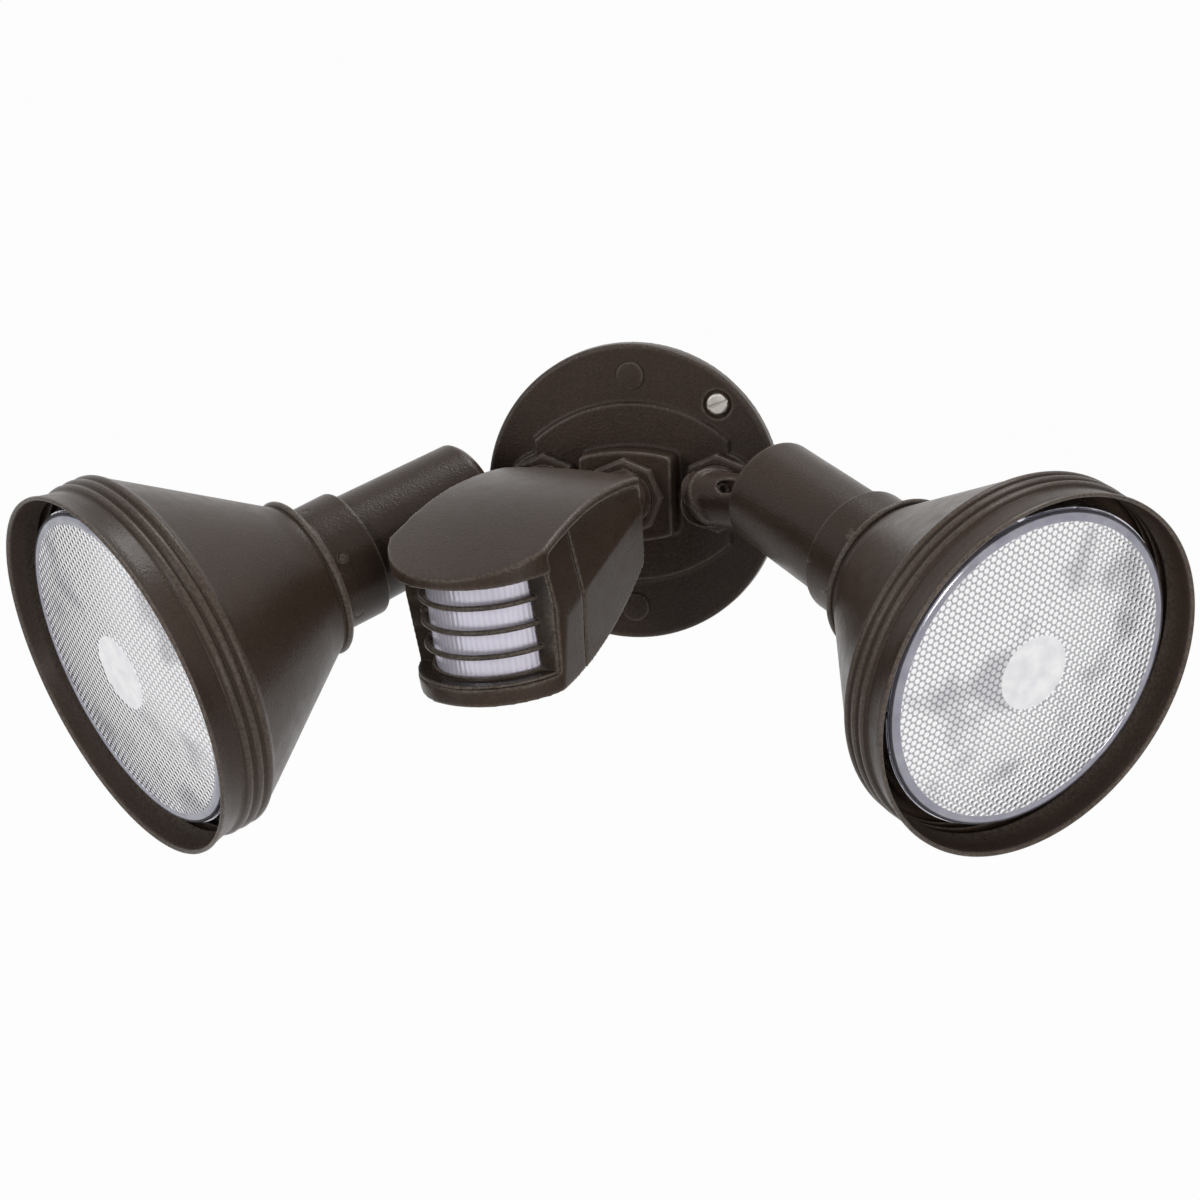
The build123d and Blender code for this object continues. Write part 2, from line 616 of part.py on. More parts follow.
def shade():
    with BuildSketch(Plane.XZ) as outline:
        with BuildLine():
            shade_outline(0.0)
            shade_outline(SHADE_WALL)
            Line((SHADE_RIM_R, SHADE_RIM), (SHADE_RIM_R - SHADE_WALL, SHADE_RIM))
            hole = COLLAR_R + SEAT_GAP
            Line((SHADE_NECK_R, SHADE_REAR), (hole, SHADE_REAR))
            Line((hole, SHADE_REAR), (hole, SHADE_REAR + SHADE_WALL))
            inner_neck = (SHADE_NECK_R - SHADE_WALL, SHADE_REAR + SHADE_WALL)
            Line((hole, SHADE_REAR + SHADE_WALL), inner_neck)
        make_face()
    wall = revolve(outline.sketch, Axis.Z)
    bead_at = (SHADE_NECK_R, 0, SHADE_REAR + SHADE_NECK_BEAD_R)
    bead = revolve(Plane(origin=bead_at, z_dir=(0, -1, 0)) * Circle(SHADE_NECK_BEAD_R), Axis.Z)
    hem_at = (SHADE_RIM_R - SHADE_HEM + 0.2, 0, SHADE_RIM - SHADE_HEM)
    hem = revolve(Plane(origin=hem_at, z_dir=(0, -1, 0)) * Circle(SHADE_HEM), Axis.Z)
    return wall + bead + hem


def bulb_neck_r(z):
    """Outer radius of the bulb's narrow end, between its skirt and its neck."""
    share = max(z - BULB_SKIRT_FRONT, 0) / (BULB_NECK - BULB_SKIRT_FRONT)
    return BULB_SKIRT_R + (BULB_NECK_R - BULB_SKIRT_R) * share


def bulb_seal():
    front = TUBE_LENGTH + SEAL_T
    return turned([
        (bulb_neck_r(TUBE_LENGTH) + FACE_GAP, TUBE_LENGTH),
        (TUBE_FRONT_R - 0.1, TUBE_LENGTH),
        (TUBE_FRONT_R - 0.1, front),
        (bulb_neck_r(front) + FACE_GAP, front),
    ])


def bulb_reflector():
    rim_rear = BULB_FACE - BULB_RIM_DEPTH
    with BuildSketch(Plane.XZ) as outline:
        with BuildLine():
            for offset in (0.0, BULB_WALL):
                Line((BULB_R - offset, BULB_FACE), (BULB_R - offset, rim_rear))
                waist = (BULB_WAIST_R - offset, BULB_WAIST)
                neck = (BULB_NECK_R - offset, BULB_NECK)
                ThreePointArc((BULB_R - offset, rim_rear), waist, neck)
                Line(neck, (BULB_SKIRT_R - offset, BULB_SKIRT_FRONT))
            Line((BULB_R, BULB_FACE), (BULB_R - BULB_WALL, BULB_FACE))
            Line((BULB_SKIRT_R, BULB_SKIRT_FRONT), (BULB_SKIRT_R - BULB_WALL, BULB_SKIRT_FRONT))
        make_face()
    return revolve(outline.sketch, Axis.Z)


def bulb_lens():
    with BuildSketch(Plane.XZ) as outline:
        with BuildLine():
            rim = BULB_R - 0.4
            crown = BULB_FACE + BULB_LENS_T + BULB_CROWN
            edge = BULB_FACE + BULB_LENS_T
            sphere = (rim * rim + BULB_CROWN * BULB_CROWN) / (2 * BULB_CROWN)
            half = (rim / 2, crown - sphere + sqrt(sphere * sphere - rim * rim / 4))
            ThreePointArc((0, crown), half, (rim, edge))
            Line((rim, edge), (rim, BULB_FACE))
            Line((rim, BULB_FACE), (0, BULB_FACE))
            Line((0, BULB_FACE), (0, crown))
        make_face()
    return revolve(outline.sketch, Axis.Z)


def bulb_base():
    tip = BULB_BASE_REAR - BULB_TIP_H
    return turned([
        (0, tip),
        (BULB_TIP_R, tip),
        (BULB_BASE_R - 1.5, BULB_BASE_REAR),
        (BULB_BASE_R, BULB_BASE_REAR + 1.5),
        (BULB_BASE_R, BULB_SKIRT_REAR - 4),
        (BULB_SKIRT_R, BULB_SKIRT_REAR),
        (BULB_SKIRT_R, BULB_SKIRT_FRONT),
        (0, BULB_SKIRT_FRONT),
    ])


def lamp_head(side_name):
    """Every piece of one lamp head, placed in the row, with its stem and pivot screw."""
    side = 1 if side_name == "right" else -1
    direction = aim(LAMP_AZ[side_name], LAMP_EL[side_name])
    joint = Vector(side * LAMP_STEM_X, LAMP_KNUCKLE_Y, 0)
    axis = knuckle_axis(direction, side)
    across = level(LAMP_AZ[side_name])
    upward = across.cross(-direction)
    turn = radians(HEAD_TURN[side_name])
    offset_out = across * (side * HEAD_OFF * sin(turn))
    rear = joint + offset_out + upward * (HEAD_OFF * cos(turn)) + direction * HEAD_AHEAD
    place = Plane(origin=rear, x_dir=across, z_dir=direction)
    neck_end = rear + direction * NECK_AIM
    neck = neck_end - joint
    holder = knuckle_cap(joint, axis, neck.normalized(), neck.length, place * lampholder_body())
    holder -= place * hollow_tube()
    holder -= place * socket_screw_holes()
    for spot in collar_screw_spots():
        start = place.from_local_coords(spot * (TUBE_FRONT_R - 6) + Vector(0, 0, COLLAR_SCREW_Z))
        end = place.from_local_coords(spot * TUBE_FRONT_R * 2 + Vector(0, 0, COLLAR_SCREW_Z))
        holder -= rod(start, end - start, 30, COLLAR_SCREW_R + SEAT_GAP)
    pieces = {
        "lamp_stem": knuckle_root(joint, axis, STEM_TAIL, LAMP_NUT_FRONT),
        "lamp_knuckle_screw": knuckle_screw(joint, axis, neck.normalized()),
        "lampholder": holder,
        "socket_body": place * socket_body(),
        "socket_screws": place * socket_screws(),
        "socket_shell": place * socket_shell(),
        "socket_contact": place * socket_contact(),
        "shade_collar": place * shade_collar(),
        "collar_screws": place * collar_screws(),
        "shade": place * shade(),
        "bulb_seal": place * bulb_seal(),
        "bulb_reflector": place * bulb_reflector(),
        "bulb_lens": place * bulb_lens(),
        "bulb_base": place * bulb_base(),
    }
    return {name + "_" + side_name: shape for name, shape in pieces.items()}


# ---------------------------------------------------------------- sensor head
def slab_y(low, high):
    """Everything between two planes across Y."""
    return Pos(0, low, 0) * Box(WIDE, high - low, WIDE, align=(Align.CENTER, Align.MIN, Align.CENTER))


def slab_z(low, high):
    """Everything between two level planes."""
    return Pos(0, 0, low) * Box(WIDE, WIDE, high - low, align=(Align.CENTER, Align.CENTER, Align.MIN))


def column(radius, draft):
    """Upright round column that widens with height, about the nose's axis."""
    low = BELLY_Z - 10
    high = ROOF_CREST[1] + 10
    low_r = radius + draft * low
    high_r = radius + draft * high
    return Pos(0, 0, low) * Cone(low_r, high_r, high - low, align=(Align.CENTER, Align.CENTER, Align.MIN))


def side_plane(side, edge_w, edge_z, inset):
    """Block outside one side's upper or lower plane, which starts at the ridge."""
    at_seam = Vector(side * CHINE_W[0], SEAM_Y, CHINE_Z[0])
    at_rear = Vector(side * CHINE_W[1], REAR_Y, CHINE_Z[1])
    at_edge = Vector(side * edge_w, SEAM_Y, edge_z)
    normal = (at_rear - at_seam).cross(at_edge - at_seam).normalized()
    if normal.X * side < 0:
        normal = -normal
    return half_space(at_seam - normal * inset, normal)


def under_roof(inset):
    """Everything under the roof, which is arched along Y and crowned across X."""
    front_y, front_z = ROOF_FRONT
    front = (front_y, front_z - inset)
    brow = (ROOF_BROW[0], ROOF_BROW[1] - inset)
    crest = (ROOF_CREST[0], ROOF_CREST[1] - inset)
    back = (ROOF_BACK[0], ROOF_BACK[1] - inset)
    rear = (REAR_Y, ROOF_REAR_Z - inset)
    deep = BELLY_Z - 20
    with BuildSketch(Plane.YZ) as side:
        with BuildLine():
            Spline(front, brow, crest, back, rear)
            Line(rear, (REAR_Y, deep))
            Line((REAR_Y, deep), (front_y, deep))
            Line((front_y, deep), front)
        make_face()
    centre = Pos(0, 0, ROOF_CREST[1] - ROOF_CROWN_R)
    swing = 8.0
    start = centre * Rot(0, -swing, 0) * centre.inverse() * side.sketch
    return revolve(start, Axis(centre.position, (0, 1, 0)), 2 * swing)


def over_belly(inset):
    """Everything above the belly, flat under the nose and curving up behind it."""
    low = BELLY_Z + inset
    centre_z = BELLY_Z + BELLY_CURVE_R
    radius = BELLY_CURVE_R - inset
    drum = Plane(origin=(0, BELLY_FLAT_Y, centre_z), z_dir=(1, 0, 0)) * Cylinder(radius, 200)
    behind = drum & slab_y(BELLY_FLAT_Y, 100) & slab_z(low - 1, 60)
    return behind + (slab_y(-100, BELLY_FLAT_Y) & slab_z(low, 60))


def round_nosed(radius, draft, rear):
    """Upright block with a round nose, wider than the body behind it."""
    nose = column(radius, draft) & slab_y(-100, 0.1)
    return nose + (slab_y(0, rear) & Box(4 * NOSE_R, WIDE, WIDE))


def sensor_form(inset):
    """The sensor body's outer form, or its inside when drawn in by the wall."""
    form = round_nosed(NOSE_R - inset, NOSE_DRAFT, REAR_Y - inset)
    for side in (-1, 1):
        form -= side_plane(side, ROOF_HALF_W, ROOF_EDGE_Z, inset)
        form -= side_plane(side, BELLY_HALF_W, BELLY_EDGE_Z, inset)
    return form & under_roof(inset) & over_belly(inset)


def roof_form():
    """The roof with its hood in front, wider than the body all round."""
    roof = round_nosed(HOOD_R, HOOD_DRAFT, REAR_Y) & under_roof(0.0)
    for side in (-1, 1):
        at_seam = Vector(side * EAVE_W[0], SEAM_Y, 0)
        at_rear = Vector(side * EAVE_W[1], REAR_Y, 0)
        normal = (at_rear - at_seam).cross(Vector(0, 0, side)).normalized()
        roof -= half_space(at_seam, normal)
    hood = roof & slab_z(HOOD_LIP_Z, 100) & slab_y(-100, SHOULDER_Y)
    return hood + (roof - under_roof(ROOF_T))


def sector(outer, inner, half_angle, low, high):
    """Upright curved panel that faces -Y, from one radius to another."""
    panel = Pos(0, 0, low) * Cylinder(outer, high - low, align=(Align.CENTER, Align.CENTER, Align.MIN))
    panel -= Pos(0, 0, low) * Cylinder(inner, high - low, align=(Align.CENTER, Align.CENTER, Align.MIN))
    reach = outer * 3
    half = radians(half_angle)
    ray_x = reach * sin(half)
    ray_y = -reach * cos(half)
    wedge = make_face(Polyline([(0, 0), (ray_x, ray_y), (0, -reach * 1.5), (-ray_x, ray_y)], close=True))
    return panel & Pos(0, 0, low - 1) * extrude(wedge, amount=high - low + 2)


def cover_screw_spots():
    return [Vector(x, 0, COVER_SCREW_Z) for x in (-COVER_SCREW_X, COVER_SCREW_X)]


def window_recess(depth):
    """Space cut from the nose in front of the shoulders, above the sill and under the hood."""
    return slab_y(-100, SHOULDER_Y + depth) & slab_z(SILL_Z - depth, HOOD_LIP_Z)


def sensor_front():
    """Front housing with its hood and roof, open behind, with the window recess in its nose."""
    housing = (sensor_form(0.0) & slab_y(-100, SEAM_Y)) + roof_form()
    housing -= sensor_form(BODY_WALL) & under_roof(ROOF_T) & slab_y(-100, SEAM_Y + 1)
    housing -= window_recess(BEZEL_T + SEAT_GAP)
    for spot in cover_screw_spots():
        depth = SEAM_Y - COVER_POST_FRONT
        start = spot + Vector(0, COVER_POST_FRONT, 0)
        post = rod(start, (0, 1, 0), depth, COVER_POST_R)
        web = Box(2.0, depth, ROOF_CREST[1] - COVER_SCREW_Z, align=(Align.CENTER, Align.MIN, Align.MIN))
        post += Pos(start.X, start.Y, start.Z) * web
        housing += post & sensor_form(BODY_WALL * 0.5)
        housing -= rod(start + Vector(0, 1, 0), (0, 1, 0), depth, SMALL_SCREW_R + SEAT_GAP)
    for x in (-1, 1):
        for z in (-BOARD_LUG_Z, BOARD_LUG_Z):
            lug = Box(NOSE_R - BOARD_LUG_X, BOARD_LUG_T, BOARD_LUG_H)
            middle = x * (NOSE_R + BOARD_LUG_X) / 2
            lug = Pos(middle, BOARD_Y - BOARD_LUG_T / 2, z) * lug
            lug -= rod((x * BOARD_SCREW_X, -10, z), (0, 1, 0), 20, SMALL_SCREW_R + SEAT_GAP)
            housing += lug & sensor_form(BODY_WALL * 0.5)
    for x in (-KNOB_X, KNOB_X):
        housing -= rod((x, KNOB_Y, BELLY_Z - 1), (0, 0, 1), 10, KNOB_R + FACE_GAP)
    return housing


def lens_bezel():
    """Frame round the window: curved panel, shoulders, sill and the bars across the lens."""
    top = HOOD_LIP_Z - SEAT_GAP
    inner_r = BEZEL_R - BEZEL_T
    plates = window_recess(BEZEL_T) - slab_y(-100, SHOULDER_Y) & slab_z(SILL_Z, 100)
    plates += window_recess(BEZEL_T) & slab_z(SILL_Z - BEZEL_T, SILL_Z)
    frame = plates & sensor_form(BEZEL_MARGIN) & slab_z(SILL_Z - BEZEL_T, top)
    low = SILL_Z - BEZEL_T
    frame -= Pos(0, 0, low - 1) * Cylinder(
        BEZEL_R - 0.2, THROUGH, align=(Align.CENTER, Align.CENTER, Align.MIN)
    )
    frame += sector(BEZEL_R, inner_r, LENS_HALF_ANGLE, low, top) & slab_y(-100, SHOULDER_Y + BEZEL_T)
    window = sector(NOSE_R + 2, 20, WINDOW_HALF_ANGLE, WINDOW_BOTTOM_Z, WINDOW_TOP_Z)
    frame -= window & slab_y(-100, SHOULDER_Y)
    for i in range(BARS):
        z = BAR_PITCH * ((BARS - 1) / 2 - i)
        profile = Plane(origin=(BAR_R, 0, z), z_dir=(0, -1, 0)) * Circle(BAR_T / 2)
        bar = revolve(profile, Axis.Z)
        frame += bar & sector(NOSE_R + 2, 20, BAR_HALF_ANGLE, z - 3, z + 3)
    return frame


def fresnel_lens():
    low = SILL_Z - BEZEL_T
    high = HOOD_LIP_Z - SEAT_GAP
    return sector(LENS_R, LENS_R - LENS_T, LENS_HALF_ANGLE, low, high)


def seam_seal():
    seal = (sensor_form(0.7) - sensor_form(BODY_WALL)) & slab_y(SEAM_Y, SEAM_Y + SEAM_SEAL_T)
    return seal & under_roof(ROOF_T + SEAT_GAP)


def sensor_rear_shell():
    cover = sensor_form(0.0) & slab_y(SEAM_Y + SEAM_SEAL_T, 200) & under_roof(ROOF_T + SEAT_GAP)
    inside = sensor_form(BODY_WALL) & under_roof(ROOF_T + BODY_WALL)
    for spot in cover_screw_spots():
        post = rod(spot + Vector(0, SEAM_Y, 0), (0, 1, 0), REAR_Y, COVER_POST_R)
        web = Box(2.0, REAR_Y, ROOF_CREST[1] - COVER_SCREW_Z, align=(Align.CENTER, Align.MIN, Align.MIN))
        inside -= post + Pos(spot.X, SEAM_Y, spot.Z) * web
    cover -= inside
    for spot in cover_screw_spots():
        cover -= rod(spot, (0, 1, 0), 80, SMALL_SCREW_R + 0.15)
        cover -= rod(spot + Vector(0, COVER_SCREW_SEAT, 0), (0, 1, 0), 80, SMALL_HEAD_R + 0.2)
    return cover


def cover_screws():
    screws = []
    for spot in cover_screw_spots():
        seat = spot + Vector(0, COVER_SCREW_SEAT, 0)
        head = rod(seat, (0, 1, 0), SMALL_HEAD_H, SMALL_HEAD_R)
        head -= Pos(seat.X, seat.Y + SMALL_HEAD_H, seat.Z) * Box(6, 1.4, 0.7)
        screws.append(head + rod(seat, (0, -1, 0), COVER_SCREW_LENGTH, SMALL_SCREW_R))
    return Compound(children=screws)


def circuit_board():
    height = BOARD_TOP_Z - BOARD_BOTTOM_Z
    middle = (BOARD_TOP_Z + BOARD_BOTTOM_Z) / 2
    board = Pos(0, BOARD_Y + BOARD_T / 2, middle) * Box(2 * BOARD_HALF_W, BOARD_T, height)
    for x in (-BOARD_SCREW_X, BOARD_SCREW_X):
        for z in (-BOARD_LUG_Z, BOARD_LUG_Z):
            board -= rod((x, -5, z), (0, 1, 0), 20, SMALL_SCREW_R + 0.1)
    return board


def board_screws():
    screws = []
    for x in (-BOARD_SCREW_X, BOARD_SCREW_X):
        for z in (-BOARD_LUG_Z, BOARD_LUG_Z):
            seat = Vector(x, BOARD_Y + BOARD_T, z)
            head = rod(seat, (0, 1, 0), SMALL_HEAD_H * 0.8, SMALL_HEAD_R * 0.9)
            screws.append(head + rod(seat, (0, -1, 0), BOARD_T + BOARD_LUG_T, SMALL_SCREW_R))
    return Compound(children=screws)


def pir_detector():
    can = rod((0, BOARD_Y, 0), (0, -1, 0), PIR_H, PIR_R)
    flange = rod((0, BOARD_Y, 0), (0, -1, 0), 0.6, PIR_R + 0.7)
    window = Pos(0, BOARD_Y - PIR_H, 0) * Box(PIR_R, 0.5, PIR_R * 0.8)
    return can + flange - window


def photocell():
    return rod((PHOTOCELL_X, BOARD_Y, PHOTOCELL_Z), (0, -1, 0), PHOTOCELL_H, PHOTOCELL_R)


def relay():
    x, z = RELAY_AT
    length, depth, height = RELAY_SIZE
    box = Pos(x, BOARD_Y + BOARD_T, z) * Box(
        length, depth, height, align=(Align.CENTER, Align.MIN, Align.CENTER)
    )
    return fillet(box.edges().filter_by(Axis.Y), 0.8)


def capacitor():
    x, z = CAPACITOR_AT
    end = (x - CAPACITOR_L / 2, BOARD_Y + BOARD_T + CAPACITOR_R, z)
    return fillet(rod(end, (1, 0, 0), CAPACITOR_L, CAPACITOR_R).edges(), 0.7)


def dial_bodies():
    """The two small potentiometers that the dials turn, on the board's lower edge."""
    bodies = []
    top = BOARD_BOTTOM_Z + 0.5
    for x in (-KNOB_X, KNOB_X):
        front = KNOB_Y - POT_HALF_W
        body = Pos(x, front, top - POT_H) * Box(
            2 * POT_HALF_W, BOARD_Y - front, POT_H, align=(Align.CENTER, Align.MIN, Align.MIN)
        )
        bodies.append(body - rod((x, KNOB_Y, BELLY_Z), (0, 0, 1), 30, KNOB_STUB_R + RUN_GAP))
    return Compound(children=bodies)


def dial_knob(x):
    """Small dial under the nose, with a screwdriver slot."""
    bottom = BELLY_Z - KNOB_PROUD
    knob = rod((x, KNOB_Y, bottom), (0, 0, 1), KNOB_H, KNOB_R)
    knob = fillet(knob.edges().group_by(Axis.Z)[0], 0.5)
    knob -= Pos(x, KNOB_Y, bottom) * Box(2 * KNOB_R + 1, 1.2, 1.8)
    top = BOARD_BOTTOM_Z - 1.0
    return knob + rod((x, KNOB_Y, bottom + KNOB_H), (0, 0, 1), top - bottom - KNOB_H, KNOB_STUB_R)


def sensor_head():
    """Every piece of the sensor, placed in the row, with its stem and pivot screw."""
    direction = aim(SENSOR_AZ, SENSOR_EL)
    side = 1 if SENSOR_AZ > 0 else -1
    joint = Vector(0, SENSOR_KNUCKLE_Y, 0)
    axis = knuckle_axis(direction, side)
    across = level(SENSOR_AZ)
    upward = across.cross(-direction)
    origin = joint + direction * SENSOR_REACH - upward * SENSOR_LIFT
    place = Plane(origin=origin, x_dir=across, z_dir=upward)
    neck_length = SENSOR_REACH - REAR_Y + BODY_WALL
    rear = knuckle_cap(joint, axis, direction, neck_length, place * sensor_rear_shell())
    pieces = {
        "sensor_stem": knuckle_root(joint, axis, -STEM_TAIL, SENSOR_NUT_FRONT),
        "sensor_knuckle_screw": knuckle_screw(joint, axis, direction),
        "sensor_rear_cover": rear,
        "sensor_front_housing": place * sensor_front(),
        "sensor_seam_seal": place * seam_seal(),
        "sensor_cover_screws": place * cover_screws(),
        "lens_bezel": place * lens_bezel(),
        "fresnel_lens": place * fresnel_lens(),
        "circuit_board": place * circuit_board(),
        "board_screws": place * board_screws(),
        "pir_detector": place * pir_detector(),
        "photocell": place * photocell(),
        "relay": place * relay(),
        "capacitor": place * capacitor(),
        "dial_bodies": place * dial_bodies(),
        "time_dial": place * dial_knob(-KNOB_X),
        "range_dial": place * dial_knob(KNOB_X),
    }
    return pieces


if __name__ == "__main__":
    save("cover_plate", cover_plate())
    save("wall_gasket", wall_gasket())
    save("hole_plugs", hole_plugs())
    save("box_screws", box_screws())
    save("stem_locknuts", stem_locknuts())
    for side_name in ("left", "right"):
        for name, shape in lamp_head(side_name).items():
            save(name, shape)
    for name, shape in sensor_head().items():
        save(name, shape)
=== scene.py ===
# %% [markdown]
# # A twin-lamp security light with a motion sensor
# We dress a measured model of an outdoor light. The model comes in as a fixed frame, so every
# piece already has its true place. Our work is what a camera sees: soft edges on the castings,
# spun sheet-metal shades, pressed glass, and paint that catches the light.

# %% Load the measured frame
import json
import math

import bpy
from mathutils import Matrix, Vector

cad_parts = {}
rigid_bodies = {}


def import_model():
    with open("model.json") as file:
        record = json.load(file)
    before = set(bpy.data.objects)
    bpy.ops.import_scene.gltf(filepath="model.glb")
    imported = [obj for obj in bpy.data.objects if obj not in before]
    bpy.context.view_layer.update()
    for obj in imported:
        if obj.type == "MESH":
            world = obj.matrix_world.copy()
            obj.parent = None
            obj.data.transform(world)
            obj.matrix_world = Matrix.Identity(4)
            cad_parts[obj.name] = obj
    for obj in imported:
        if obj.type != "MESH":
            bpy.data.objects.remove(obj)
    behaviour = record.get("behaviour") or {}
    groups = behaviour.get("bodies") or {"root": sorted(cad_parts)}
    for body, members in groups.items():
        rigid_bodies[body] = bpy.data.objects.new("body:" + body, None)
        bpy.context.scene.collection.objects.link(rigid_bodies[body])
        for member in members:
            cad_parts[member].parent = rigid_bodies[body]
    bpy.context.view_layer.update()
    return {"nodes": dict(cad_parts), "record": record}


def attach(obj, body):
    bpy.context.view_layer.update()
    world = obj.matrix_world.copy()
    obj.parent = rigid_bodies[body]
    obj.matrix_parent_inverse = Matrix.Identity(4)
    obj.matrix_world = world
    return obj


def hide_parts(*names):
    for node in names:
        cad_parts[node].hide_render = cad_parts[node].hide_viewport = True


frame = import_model()


# %% [markdown]
# ## The camera
# The light was photographed from slightly above and to its right, from far away with a long
# lens. A long lens keeps the two lamps nearly equal in size. The three rows below are the
# camera's right, down and forward directions in the model's frame.

# %% Set the camera
CAMERA_AT = Vector((0.791958, -3.629538, 0.547265))
RIGHT = Vector((0.976762, 0.212626, -0.026950))
DOWN = Vector((0.007189, -0.158171, -0.987385))
FORWARD = Vector((-0.214206, 0.964247, -0.156024))
FOCAL_PIXELS = 10521.8
PHOTO_PIXELS = 1200
CAMERA_FILM_MM = 36.0

bpy.ops.object.select_all(action="DESELECT")
bpy.ops.object.camera_add()
camera = bpy.context.object
camera.name = "studio_camera"
turn = Matrix((RIGHT, -DOWN, -FORWARD)).transposed().to_4x4()
camera.matrix_world = Matrix.Translation(CAMERA_AT) @ turn
camera.data.sensor_width = CAMERA_FILM_MM
camera.data.lens = FOCAL_PIXELS / PHOTO_PIXELS * CAMERA_FILM_MM
camera.data.shift_x = -0.6 / PHOTO_PIXELS
camera.data.shift_y = -0.9 / PHOTO_PIXELS
camera.data.clip_end = 60.0
bpy.context.scene.camera = camera
print("lens", round(camera.data.lens, 1), "mm")


# %% [markdown]
# ## Light and backdrop
# Dark bronze paint shows its form only by light and shade. Soft lamps stand on the left, low on
# the right and overhead, with a weak one in front, so each round form gets a broad light side
# and a dark one. The backdrop is white by its own colour, so the lamps need not be bright.

# %% Aim soft lamps at the light
LIT_SPOT = Vector((0.0, -0.09, 0.0))


def soft_lamp(name, place, size, power, tint=(1.0, 1.0, 1.0)):
    bpy.ops.object.light_add(type="AREA", location=place)
    lamp = bpy.context.object
    lamp.name = name
    lamp.data.shape = "RECTANGLE"
    lamp.data.size = size[0]
    lamp.data.size_y = size[1]
    lamp.data.energy = power
    lamp.data.color = tint
    aim = LIT_SPOT - Vector(place)
    lamp.rotation_euler = aim.to_track_quat("-Z", "Y").to_euler()
    return lamp


soft_lamp("left_lamp", (-1.3, -1.9, 0.7), (0.7, 0.9), 14.0)
soft_lamp("right_lamp", (1.5, -1.9, -0.3), (0.6, 0.8), 17.0, (1.0, 0.95, 0.90))
soft_lamp("top_lamp", (0.4, 0.4, 1.9), (1.0, 0.7), 20.0)
soft_lamp("front_lamp", (0.6, -3.0, 0.5), (0.8, 0.8), 3.0)
print("four soft lamps")

# %% [markdown]
# A white world would also light the object from every side and flatten it. So the world has two
# strengths: white for what a camera, a mirror or a glass sees, and a faint sky for what lights
# the paint. The paper floor is mixed in the same way.

# %% Make the white world
SKY_STRENGTH = 0.05
world = bpy.data.worlds.new("studio_world")
bpy.context.scene.world = world
world.use_nodes = True
world.node_tree.nodes.clear()


def shows_backdrop(tree):
    """1 for rays that come from the camera, a mirror or glass."""
    path = tree.nodes.new("ShaderNodeLightPath")
    first = tree.nodes.new("ShaderNodeMath")
    first.operation = "MAXIMUM"
    second = tree.nodes.new("ShaderNodeMath")
    second.operation = "MAXIMUM"
    tree.links.new(path.outputs["Is Camera Ray"], first.inputs[0])
    tree.links.new(path.outputs["Is Glossy Ray"], first.inputs[1])
    tree.links.new(first.outputs[0], second.inputs[0])
    tree.links.new(path.outputs["Is Transmission Ray"], second.inputs[1])
    return second.outputs[0]


sky = world.node_tree.nodes.new("ShaderNodeBackground")
sky.inputs["Color"].default_value = (0.93, 0.95, 1.0, 1.0)
sky.inputs["Strength"].default_value = SKY_STRENGTH
white = world.node_tree.nodes.new("ShaderNodeBackground")
white.inputs["Color"].default_value = (1.0, 1.0, 1.0, 1.0)
white.inputs["Strength"].default_value = 1.0
pick = world.node_tree.nodes.new("ShaderNodeMixShader")
out = world.node_tree.nodes.new("ShaderNodeOutputWorld")
world.node_tree.links.new(shows_backdrop(world.node_tree), pick.inputs[0])
world.node_tree.links.new(sky.outputs[0], pick.inputs[1])
world.node_tree.links.new(white.outputs[0], pick.inputs[2])
world.node_tree.links.new(pick.outputs[0], out.inputs["Surface"])
bpy.context.scene.view_settings.view_transform = "Standard"
print("white world over a faint sky of strength", SKY_STRENGTH)

# %% Lay the pale floor
FLOOR_Z = -0.6
FLOOR_GLOW = 0.98
bpy.ops.object.select_all(action="DESELECT")
bpy.ops.mesh.primitive_grid_add(
    x_subdivisions=8, y_subdivisions=8, size=24.0, location=(0.0, 4.0, FLOOR_Z)
)
floor = bpy.context.object
floor.name = "studio_floor"
bpy.ops.object.transform_apply(location=True, rotation=True, scale=True)
paper = bpy.data.materials.new("white_paper_floor")
paper.use_nodes = True
paper.node_tree.nodes.clear()
matte = paper.node_tree.nodes.new("ShaderNodeBsdfDiffuse")
matte.inputs["Color"].default_value = (0.7, 0.7, 0.7, 1.0)
glow = paper.node_tree.nodes.new("ShaderNodeEmission")
glow.inputs["Color"].default_value = (1.0, 1.0, 1.0, 1.0)
glow.inputs["Strength"].default_value = 1.0
blend = paper.node_tree.nodes.new("ShaderNodeMixShader")
weigh = paper.node_tree.nodes.new("ShaderNodeMath")
weigh.operation = "MULTIPLY"
weigh.inputs[1].default_value = FLOOR_GLOW
paper_out = paper.node_tree.nodes.new("ShaderNodeOutputMaterial")
paper.node_tree.links.new(shows_backdrop(paper.node_tree), weigh.inputs[0])
paper.node_tree.links.new(weigh.outputs[0], blend.inputs[0])
paper.node_tree.links.new(matte.outputs[0], blend.inputs[1])
paper.node_tree.links.new(glow.outputs[0], blend.inputs[2])
paper.node_tree.links.new(blend.outputs[0], paper_out.inputs["Surface"])
floor.data.materials.append(paper)
print("paper floor at", FLOOR_Z, "m")
